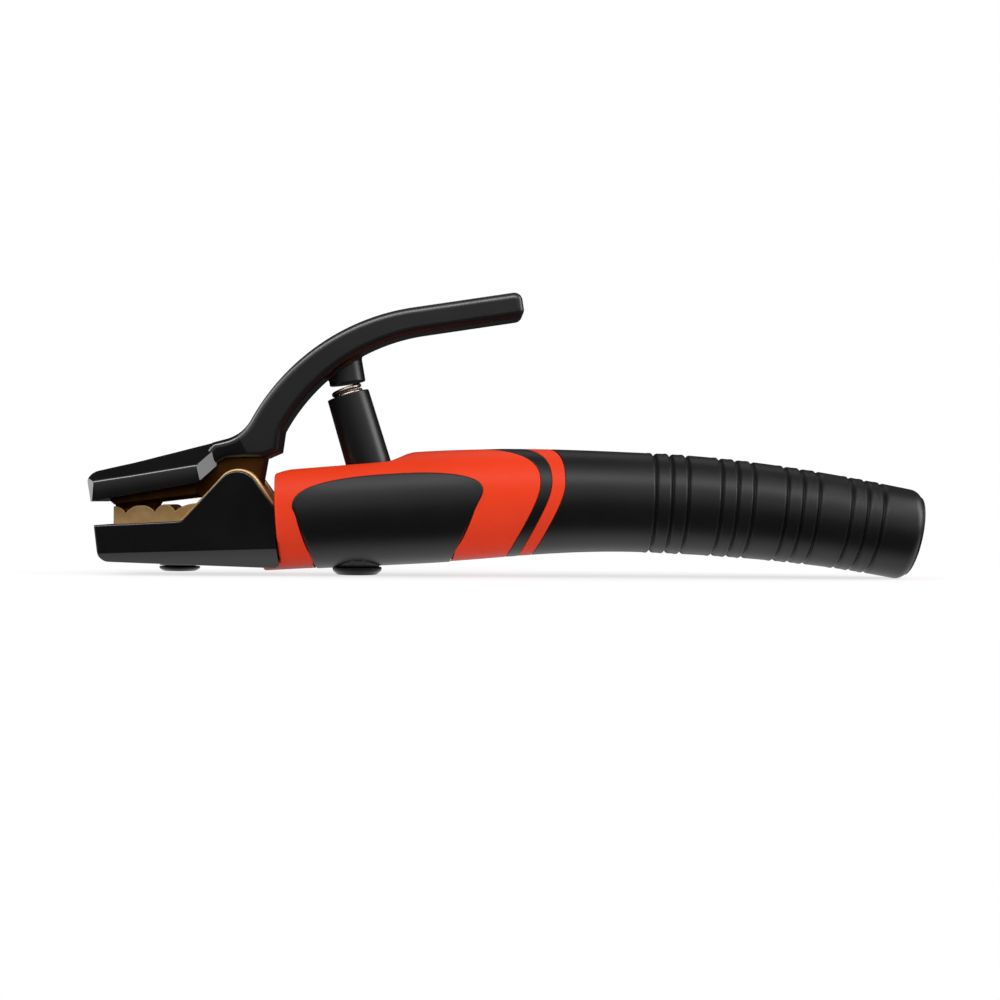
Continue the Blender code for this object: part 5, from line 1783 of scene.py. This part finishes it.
    def lever_outline(self) -> list[Pair]:
        """Side view of the lever with the neck of the cover, before the joint parts them.

        Returns:
            The closed outline.
        """
        upper, lower = self.lever_side(90), self.lever_side(-90)
        start_x = self.nose_x + self.roof_length * self.neck_share
        start = (start_x, self.top_z(start_x) - self.roof_step)
        throat = crossing(start, self.top_slope, upper[0], self.rise)
        flank, foot = self.flank(self.roof_step)
        toe_x = start_x - self.neck_toe
        corners: list[Corner] = [(toe_x, self.lower_z(toe_x) + self.roof_step, 0), (*start, 0)]
        corners.append((*throat, self.throat_radius))
        corners += [(x, z, 0) for x, z in upper[:-1]]
        corners += [(*upper[-1], self.end_radius), (*lower[-1], self.end_radius)]
        corners += [(x, z, 0) for x, z in lower[-2::-1]]
        corners += [(*self.heel, 0), (*self.sole, self.end_radius), (*self.split, 0)]
        corners += [(*polar((0, 0), self.collar_radius, angle), 0) for angle in self.collar_angles]
        corners += [(*flank, 0), (*foot, 0)]
        return rounded(corners, 12)

    def lever_half(self, name: str, side: int) -> Piece:
        """One side of the joint across the lever's root.

        Args:
            name: name of the piece.
            side: 1 for the lever, -1 for the cover.

        Returns:
            The new piece.
        """
        wide = self.half_width
        piece = soft_plate(name, self.lever_outline(), -wide, wide, self.lever_edge, 6)
        lean = math.radians(self.split_slope - 90)
        normal = Vector((math.cos(lean), 0, math.sin(lean))) * side
        point = PIVOT + Vector((self.split[0], 0, self.split[1])) + normal * TIGHT_GAP / 2
        bisect(piece, point, -normal)
        return piece

    def crest_z(self, x: float) -> float:
        """Top line of the cover, rounded down at the nose.

        Args:
            x: place from the pivot.

        Returns:
            The height from the pivot.
        """
        slope = math.radians(self.top_slope)
        centre_x = self.nose_x + self.nose_radius
        if x > centre_x - self.nose_radius * math.sin(slope):
            return self.top_z(x)
        centre_z = self.top_z(centre_x) - self.nose_radius / math.cos(slope)
        return centre_z + quarter(self.nose_radius, x - self.nose_x)

    def roof_z(self, x: float, y: float) -> float:
        """Height of the roof: a sloped flank on each side under a flat top.

        Args:
            x: place from the pivot.
            y: place across the cover.

        Returns:
            The height from the pivot.
        """
        rise = math.tan(math.radians(self.shoulder_slope)) * (x - self.nose_x)
        pitch = math.tan(math.radians(self.roof_pitch)) * (self.roof_half_width - abs(y))
        flank = self.nose_low + self.shoulder_height + rise + pitch
        return soft_min(self.crest_z(x), flank, self.roof_edge)

    def roof_ring(self, x: float) -> Ring:
        """Cross-section of the cover, rounded at the nose, whose front leans forward at the top.

        Args:
            x: place from the pivot.

        Returns:
            The ring.
        """
        wide = self.roof_half_width
        flank, _ = self.flank(0.0)
        low = max(self.lower_z(x), at_x(flank, self.jaw.ear_front, x)[1])
        cut, count = self.shoulder_cut, 20
        top = wide - cut * math.cos(math.radians(self.roof_pitch))
        across = [top * (2 * k / count - 1) for k in range(count + 1)]
        crown = [(y, self.roof_z(x, y), 0.0) for y in across]
        corners: list[Corner] = [(side * wide, low, self.low_edge) for side in (1, -1)]
        side_z = max(self.roof_z(x, wide) - cut, low + 2 * self.low_edge)
        corners += [(-wide, side_z, 0.0)] + crown + [(wide, side_z, 0.0)]
        ring = section(x, corners)
        fade = max(0.0, 1 - (x - self.nose_x) / self.rake_length)
        for point in ring:
            height = point.z - PIVOT.z - self.nose_low - self.rake_height
            point.x -= height * math.tan(math.radians(self.nose_rake)) * fade
        return ring

    def cut_facets(self, roof: Piece) -> None:
        """Cut a flat facet across each rear corner and each front corner of the roof.

        Args:
            roof: roof of the cover.
        """
        for x, z, turn_deg, lean_deg in (self.rear_facet, self.nose_facet):
            turn = math.radians(turn_deg)
            rise = math.sin(turn) * math.tan(math.radians(lean_deg))
            for side in (-1, 1):
                point = PIVOT + Vector((x, side * self.roof_half_width, z))
                bisect(roof, point, Vector((math.sin(turn), side * math.cos(turn), rise)))

    def cover(self) -> Piece:
        """Black cover of the upper jaw: a roof with sloped flanks that runs into the lever's root.

        Returns:
            The new piece.
        """
        steps = 10
        angles = [math.radians(90 - self.top_slope) * k / steps for k in range(steps + 1)]
        nose = [self.nose_radius * (1 - math.cos(angle)) for angle in angles]
        count = 40
        body = [nose[-1] + (self.roof_length - nose[-1]) * k / count for k in range(1, count + 1)]
        rings = [self.roof_ring(self.nose_x + back) for back in nose + body]
        piece = ring_skin("upper_jaw_cover_black", rings)
        self.cut_facets(piece)
        combine(piece, Operation.JOIN, self.lever_half("neck", -1))
        tongue = self.tongue_outline(SEAT_GAP)
        room = tongue[3:] + [(tongue[0][0], -2 * OVERCUT), (tongue[3][0], -2 * OVERCUT)]
        side_room = self.tongue_half_width + SEAT_GAP
        hub_room = self.jaw.cheek_inner
        return combine(
            piece, Operation.CUT,
            plate("room", room, -side_room, side_room),
            plate("room", self.hub_outline(SEAT_GAP), -hub_room, hub_room),
            self.cover_screw("hole", TIGHT_GAP, OVERCUT),
        )

    def cover_screw(self, name: str, gap: float, overrun: float) -> Piece:
        """Countersunk screw in the roof, or its hole when it has a gap and an overrun.

        Args:
            name: name of the piece.
            gap: clearance of the hole.
            overrun: how far the hole reaches out of the roof.

        Returns:
            The screw or the cutter.
        """
        lean = math.radians(self.top_slope)
        down = Vector((math.sin(lean), 0, -math.cos(lean)))
        head = PIVOT + Vector((-self.screw_reach, 0, self.top_z(-self.screw_reach))) + down * SEAT_GAP
        place = aimed(head, down)
        wide, slim = self.screw_head_radius + gap, self.screw_radius + gap
        sink = self.screw_head_radius - self.screw_radius + gap
        end = self.screw_length + gap
        profile = [(0, -overrun), (wide, -overrun), (wide, gap + self.screw_rim)]
        profile += [(slim, sink), (slim, end), (0, end)]
        piece = turned(name, profile, place, AROUND_SCREW)
        if overrun == 0:
            combine(piece, Operation.CUT, key_cutter(place, self.screw_key))
        return piece

    def lever_side(self, turn: float) -> list[Pair]:
        """Upper (90) or lower (-90) side line of the lever, from its bend to its tail."""
        path = self.path(0, self.tail_length)[1:]
        return [polar(point, self.half_thickness(slope), slope + turn) for point, slope in path]

    def lower_edge(self, x: float) -> float:
        """Height of the lever's underside.

        Args:
            x: place from the pivot.

        Returns:
            The height from the pivot.
        """
        points = self.lever_side(-90)
        for (x0, z0), (x1, z1) in zip(points, points[1:]):
            if x0 <= x <= x1:
                return z0 + (z1 - z0) * (x - x0) / (x1 - x0)
        return points[0][1] if x < points[0][0] else points[-1][1]

    def boss(self) -> Piece:
        """Round foot that presses on the spring, with a fillet along the lever's underside.

        Returns:
            The boss, to be joined to the lever.
        """
        low = Matrix.Translation((self.boss_offset, 0, self.boss_height))
        place = guard_place() @ low @ Matrix.Rotation(math.radians(self.boss_lean), 4, "Y")
        turns = whole_turn(AROUND_TUBE)
        wide, fillet, steps = self.boss_radius, self.boss_fillet, 8
        corners = [(wide, 0, self.boss_edge), (wide, self.boss_straight, 0), (0, 0, 0)]
        profile = [(0.0, 0.0)] + rounded(corners, 4)[:-2]
        rings = round_rings(place, profile, AROUND_TUBE)
        for k in range(steps + 1):
            angle = math.pi / 2 * k / steps
            radius = wide + fillet * (1 - math.cos(angle))
            below = fillet * (1 - math.sin(angle)) - self.boss_sink
            rings.append([self.under_lever(place, radius, turn, below) for turn in turns])
        rings.append([self.under_lever(place, wide, turn, -self.boss_root) for turn in turns])
        return ring_skin("boss", rings)

    def under_lever(self, place: Matrix, radius: float, turn: float, below: float) -> Vector:
        """Point on the boss's side that lies a depth under the lever's underside.

        Args:
            place: foot of the boss, with Z along it.
            radius: distance from its axis.
            turn: angle round its axis, in radians.
            below: depth under the lever's underside.

        Returns:
            The point in the world.
        """
        low, high = 0.0, self.boss_reach
        halvings = 24
        for _ in range(halvings):
            height = (low + high) / 2
            point = round_point(place, radius, turn, height)
            if point.z - PIVOT.z < self.lower_edge(point.x - PIVOT.x) - below:
                low = height
            else:
                high = height
        return point

    def sleeve(self) -> Piece:
        """Black lever with its boss, hollow for the jaw's arm.

        Returns:
            The new piece.
        """
        piece = self.lever_half("lever_sleeve_black", 1)
        combine(piece, Operation.JOIN, self.boss())
        arm_room = self.arm[0] + SEAT_GAP
        hub_room = self.jaw.cheek_inner
        return combine(
            piece, Operation.CUT,
            plate("room", self.arm_outline(SEAT_GAP), -arm_room, arm_room),
            plate("room", self.hub_outline(SEAT_GAP), -hub_room, hub_room),
        )

    def build(self) -> None:
        """Model and dress the pieces that move with the lever."""
        # The upper jaw's dark brown brass is painted shade for the shadow under its cover
        dress(self.upper_jaw(), SHADE_PAINTED_BRASS, Slot.BRASS, Body.LEVER, "upper_jaw")
        dress(self.cover(), GLOSS_PHENOLIC, Slot.COVER, Body.LEVER, "upper_jaw_cover")
        dress(self.sleeve(), SATIN_NYLON, Slot.LEVER, Body.LEVER, "lever_sleeve")
        screw = self.cover_screw("upper_cover_screw_black", 0.0, 0.0)
        dress(screw, BLACK_ZINC, Slot.SCREW, Body.LEVER, "upper_cover_screw")


@dataclass
class SpringGuard:
    """Guard tube that rocks in the jaw's neck, with the spring and its washer."""

    top_radius: float = 0.0066
    bore: float = 0.0059
    height: float = 0.0288
    floor: float = -0.0020
    edge: float = 0.0006
    washer: Corner = (0.0055, 0.0025, 0.0010)
    washer_edge: float = 0.0002
    wire: float = 0.0015
    coil_radius: float = 0.0041
    coil_low: float = -0.0004
    coil_high: float = 0.0315
    turns: int = 10
    # Close turns at the low and at the high end
    closed_turns: Pair = (1.0, 2.2)
    close_pitch: float = 1.04
    turn_points: int = 24
    keep: float = 0.81

    def tube(self) -> Piece:
        """Tube with a ball end.

        Returns:
            The new piece.
        """
        outer, steps = GUARD_RADIUS, 12
        ball = [polar((0, 0), outer, -90 + 90 * k / steps) for k in range(1, steps)]
        corners: list[Corner] = [(0, -outer, 0)] + [(x, z, 0) for x, z in ball] + [(outer, 0, 0)]
        corners += [(self.top_radius, self.height, self.edge), (self.bore, self.height, self.edge / 2)]
        corners += [(self.bore, self.floor, 0), (0, self.floor, 0)]
        return turned("spring_guard_tube_black", rounded(corners, 5), guard_place(), AROUND_TUBE)

    def washer_piece(self) -> Piece:
        """Fibre washer on the floor of the tube.

        Returns:
            The new piece.
        """
        outer, inner, thick = self.washer
        low = self.floor + SEAT_GAP
        corners = [(inner, low), (outer, low), (outer, low + thick), (inner, low + thick)]
        wall = rounded([(radius, height, self.washer_edge) for radius, height in corners], 3)
        return turned("spring_seat_washer_fibre", wall, guard_place(), AROUND_TUBE)

    def wire_height(self, done: float) -> float:
        """Height of the wire after a number of turns: close turns at both ends, open ones between.

        Args:
            done: turns from the low end.

        Returns:
            The height along the tube.
        """
        low, high = self.coil_low + self.wire / 2, self.coil_high - self.wire / 2
        first, last = self.closed_turns
        close = self.wire * self.close_pitch
        open_turns = self.turns - first - last
        pitch = (high - low - close * (first + last)) / open_turns
        past_open = max(0.0, done - self.turns + last)
        opened = min(max(done - first, 0.0), open_turns)
        return low + close * (min(done, first) + past_open) + pitch * opened

    def spring(self) -> Piece:
        """Wound wire whose end turns close up, as a compression spring's do.

        Returns:
            The new piece.
        """
        steps = self.turns * self.turn_points
        curve = bpy.data.curves.new("spring_wire", "CURVE")
        curve.dimensions = "3D"
        curve.bevel_depth = self.wire / 2
        curve.bevel_resolution = 4
        curve.use_fill_caps = True
        line = curve.splines.new("POLY")
        line.points.add(steps)
        for k, target in enumerate(line.points):
            done = k / self.turn_points
            height = self.wire_height(done)
            target.co = (*round_point(guard_place(), self.coil_radius, 2 * math.pi * done, height), 1.0)
        wire = bpy.data.objects.new("spring_steel_wire", curve)
        bpy.context.scene.collection.objects.link(wire)
        make_active(wire)
        bpy.ops.object.convert(target="MESH")
        weld(bpy.context.object)
        return bpy.context.object

    def build(self) -> None:
        """Model and dress the pieces of the guard."""
        dress(self.tube(), SATIN_NYLON, Slot.LEVER, Body.GUARD, "spring_guard_tube")
        dress(self.washer_piece(), VULCAN_FIBRE, Slot.FIBRE, Body.GUARD, "spring_seat_washer")
        spring = dress(self.spring(), DRAWN_STEEL, Slot.STEEL, Body.GUARD, "spring")
        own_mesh(spring)


# Studio

@dataclass
class Softbox:
    """Rectangular lamp that faces a target, and lights only the named pieces if there are any."""

    name: str
    place: Corner
    size: Pair
    power: float
    target: Corner = (0.0, 0.0, 0.03)
    pieces: tuple[str, ...] = ()

    def build(self) -> None:
        """Add the lamp."""
        light = bpy.data.lights.new(self.name, "AREA")
        light.shape = "RECTANGLE"
        light.size, light.size_y = self.size
        light.energy = self.power
        lamp = bpy.data.objects.new(self.name, light)
        way = Vector(self.target) - Vector(self.place)
        turn = way.to_track_quat("-Z", "Y").to_matrix().to_4x4()
        lamp.matrix_world = Matrix.Translation(self.place) @ turn
        bpy.context.scene.collection.objects.link(lamp)
        if self.pieces:
            lit = bpy.data.collections.new(self.name)
            for piece in self.pieces:
                lit.objects.link(bpy.data.objects[piece])
            lamp.light_linking.receiver_collection = lit


# Hard black mouldings, whose edges a long lamp picks out as bright lines
EDGED_PIECES = ("upper_jaw_cover_black", "lower_jaw_cover_black", "lever_sleeve_black")


@dataclass
class Studio:
    """Camera at the photograph's angle, soft lamps and a plain pale floor."""

    eye: Corner = (0.0625, -0.5216, -0.0020)
    turn: float = -1.89
    roll: float = 0.44
    lens: float = 60.3
    sensor: float = 36.0
    clip: Pair = (0.01, 20.0)
    floor_half: float = 3.0
    floor_drop: float = 0.0001
    lamps: tuple[Softbox, ...] = (
        Softbox("key", (-0.04, -0.43, 0.64), (0.90, 0.14), 2.2),
        Softbox("right", (0.62, -0.04, 0.36), (0.35, 0.60), 3.0),
        Softbox("left", (-0.66, 0.03, 0.26), (0.35, 0.50), 2.8),
        Softbox("line", (-0.20, -0.43, 0.64), (1.20, 0.20), 6.0, pieces=EDGED_PIECES),
        Softbox("back", (0.10, 0.55, 0.75), (0.60, 0.30), 0.4),
    )
    fill: float = 0.5
    sky: float = 0.7
    sky_up: Pair = (0.06, 0.24)
    sky_front: Pair = (0.05, -0.20)
    ground: float = 0.04
    paper: float = 0.9
    under: float = 1.0
    under_reach: Pair = (0.012, 0.022)
    glow: Pair = (0.7, 1.0)
    glow_reach: Pair = (0.10, 0.35)

    def camera(self) -> None:
        """Camera that sees the holder as the photograph does; its eye is counted from the pivot."""
        data = bpy.data.cameras.new("camera")
        data.lens = self.lens
        data.sensor_width = self.sensor
        data.clip_start, data.clip_end = self.clip
        camera = bpy.data.objects.new("camera", data)
        turn = Matrix.Rotation(math.radians(self.turn), 4, "Z")
        level_view = Matrix.Rotation(math.pi / 2, 4, "X")
        roll = Matrix.Rotation(math.radians(self.roll), 4, "Z")
        camera.matrix_world = Matrix.Translation(PIVOT + Vector(self.eye)) @ turn @ level_view @ roll
        bpy.context.scene.collection.objects.link(camera)
        bpy.context.scene.camera = camera

    def ray_kinds(self, tree: bpy.types.NodeTree) -> tuple[bpy.types.NodeSocket, bpy.types.NodeSocket]:
        """Sockets that are 1 for rays from the camera, and for rays that mirror or pass through.

        Args:
            tree: node tree that gets the nodes.

        Returns:
            The two sockets.
        """
        path = add_node(tree, "ShaderNodeLightPath").outputs
        kinds = {0: path["Is Glossy Ray"], 1: path["Is Transmission Ray"]}
        indirect = add_node(tree, MATH, {"operation": "MAXIMUM"}, kinds)
        return path["Is Camera Ray"], indirect.outputs[0]

    def world(self) -> None:
        """White surround to look at, a front sky that gloss shows, and a soft fill light."""
        world = bpy.data.worlds.new("studio")
        bpy.context.scene.world = world
        world.use_nodes = True
        tree = world.node_tree
        tree.nodes.clear()
        camera, indirect = self.ray_kinds(tree)
        coords = add_node(tree, "ShaderNodeTexCoord").outputs["Generated"]
        way = add_node(tree, "ShaderNodeSeparateXYZ", None, {0: coords}).outputs
        low, high = self.sky_up
        up = add_node(
            tree, MAP_RANGE,
            {"From Min": low, "From Max": high, "To Min": self.ground, "To Max": self.sky},
            {"Value": way["Z"]},
        )
        near, far = self.sky_front
        front = add_node(
            tree, MAP_RANGE, {"From Min": near, "From Max": far, "To Min": self.ground}, {"Value": way["Y"]}
        )
        sky = add_node(tree, MATH, {"operation": "MULTIPLY"}, {0: up.outputs[0], 1: front.outputs[0]})
        shown = add_node(tree, MATH, {"operation": "MULTIPLY"}, {0: sky.outputs[0], 1: indirect})
        diffuse = add_node(tree, "ShaderNodeLightPath").outputs["Is Diffuse Ray"]
        fill = add_node(tree, MATH, {"operation": "MULTIPLY", 1: self.fill}, {0: diffuse})
        seen = add_node(tree, MATH, {"operation": "MAXIMUM"}, {0: camera, 1: shown.outputs[0]})
        strength = add_node(
            tree, MATH, {"operation": "MAXIMUM"}, {0: fill.outputs[0], 1: seen.outputs[0]}
        )
        surround = add_node(
            tree, "ShaderNodeBackground", {"Color": (1, 1, 1, 1)}, {"Strength": strength.outputs[0]}
        )
        add_node(tree, "ShaderNodeOutputWorld", None, {"Surface": surround.outputs[0]})

    def floor(self) -> None:
        """White floor that keeps a soft shadow; gloss shows it bright just under the holder."""
        deselect_all()
        bpy.ops.mesh.primitive_plane_add(size=2 * self.floor_half, location=(0, 0, -self.floor_drop))
        floor = bpy.context.object
        floor.name = "floor"
        material = bpy.data.materials.new("white_floor")
        material.use_nodes = True
        tree = material.node_tree
        tree.nodes.clear()
        camera, indirect = self.ray_kinds(tree)
        coords = add_node(tree, "ShaderNodeTexCoord").outputs["Object"]
        away = add_node(tree, "ShaderNodeVectorMath", {"operation": "LENGTH"}, {0: coords})
        (near, far), (low, high) = self.glow_reach, self.glow
        glow = add_node(
            tree, MAP_RANGE,
            {"From Min": near, "From Max": far, "To Min": low, "To Max": high},
            {"Value": away.outputs["Value"]},
        )
        across = add_node(tree, "ShaderNodeSeparateXYZ", None, {0: coords}).outputs["Y"]
        off = add_node(tree, MATH, {"operation": "ABSOLUTE"}, {0: across})
        near, far = self.under_reach
        under = add_node(
            tree, MAP_RANGE,
            {"From Min": near, "From Max": far, "To Min": self.under, "To Max": self.ground},
            {"Value": off.outputs[0]},
        )
        lit = add_node(tree, MATH, {"operation": "MULTIPLY"}, {0: glow.outputs[0], 1: camera})
        share = add_node(tree, MATH, {"operation": "MAXIMUM"}, {0: lit.outputs[0], 1: indirect})
        strength = add_node(tree, MATH, {"operation": "MAXIMUM"}, {0: camera, 1: under.outputs[0]})
        paper = add_node(tree, "ShaderNodeBsdfDiffuse", {"Color": (*[self.paper] * 3, 1)})
        white = add_node(
            tree, "ShaderNodeEmission", {"Color": (1, 1, 1, 1)}, {"Strength": strength.outputs[0]}
        )
        mixed = add_node(
            tree, "ShaderNodeMixShader", None,
            {0: share.outputs[0], 1: paper.outputs[0], 2: white.outputs[0]},
        )
        add_node(tree, "ShaderNodeOutputMaterial", None, {"Surface": mixed.outputs[0]})
        floor.data.materials.append(material)

    def build(self) -> None:
        """Set up the camera, the lamps, the world and the floor."""
        self.camera()
        self.world()
        self.floor()
        for lamp in self.lamps:
            lamp.build()
        bpy.context.scene.view_settings.view_transform = "Standard"


def main() -> None:
    """Build the studio and the sub-assemblies of the holder."""
    logging.basicConfig(level=logging.INFO, format="%(name)s: %(message)s")
    Handle().build()
    LowerJaw().build()
    Lever().build()
    SpringGuard().build()
    Studio().build()
    deselect_all()


if __name__ == "__main__":
    main()
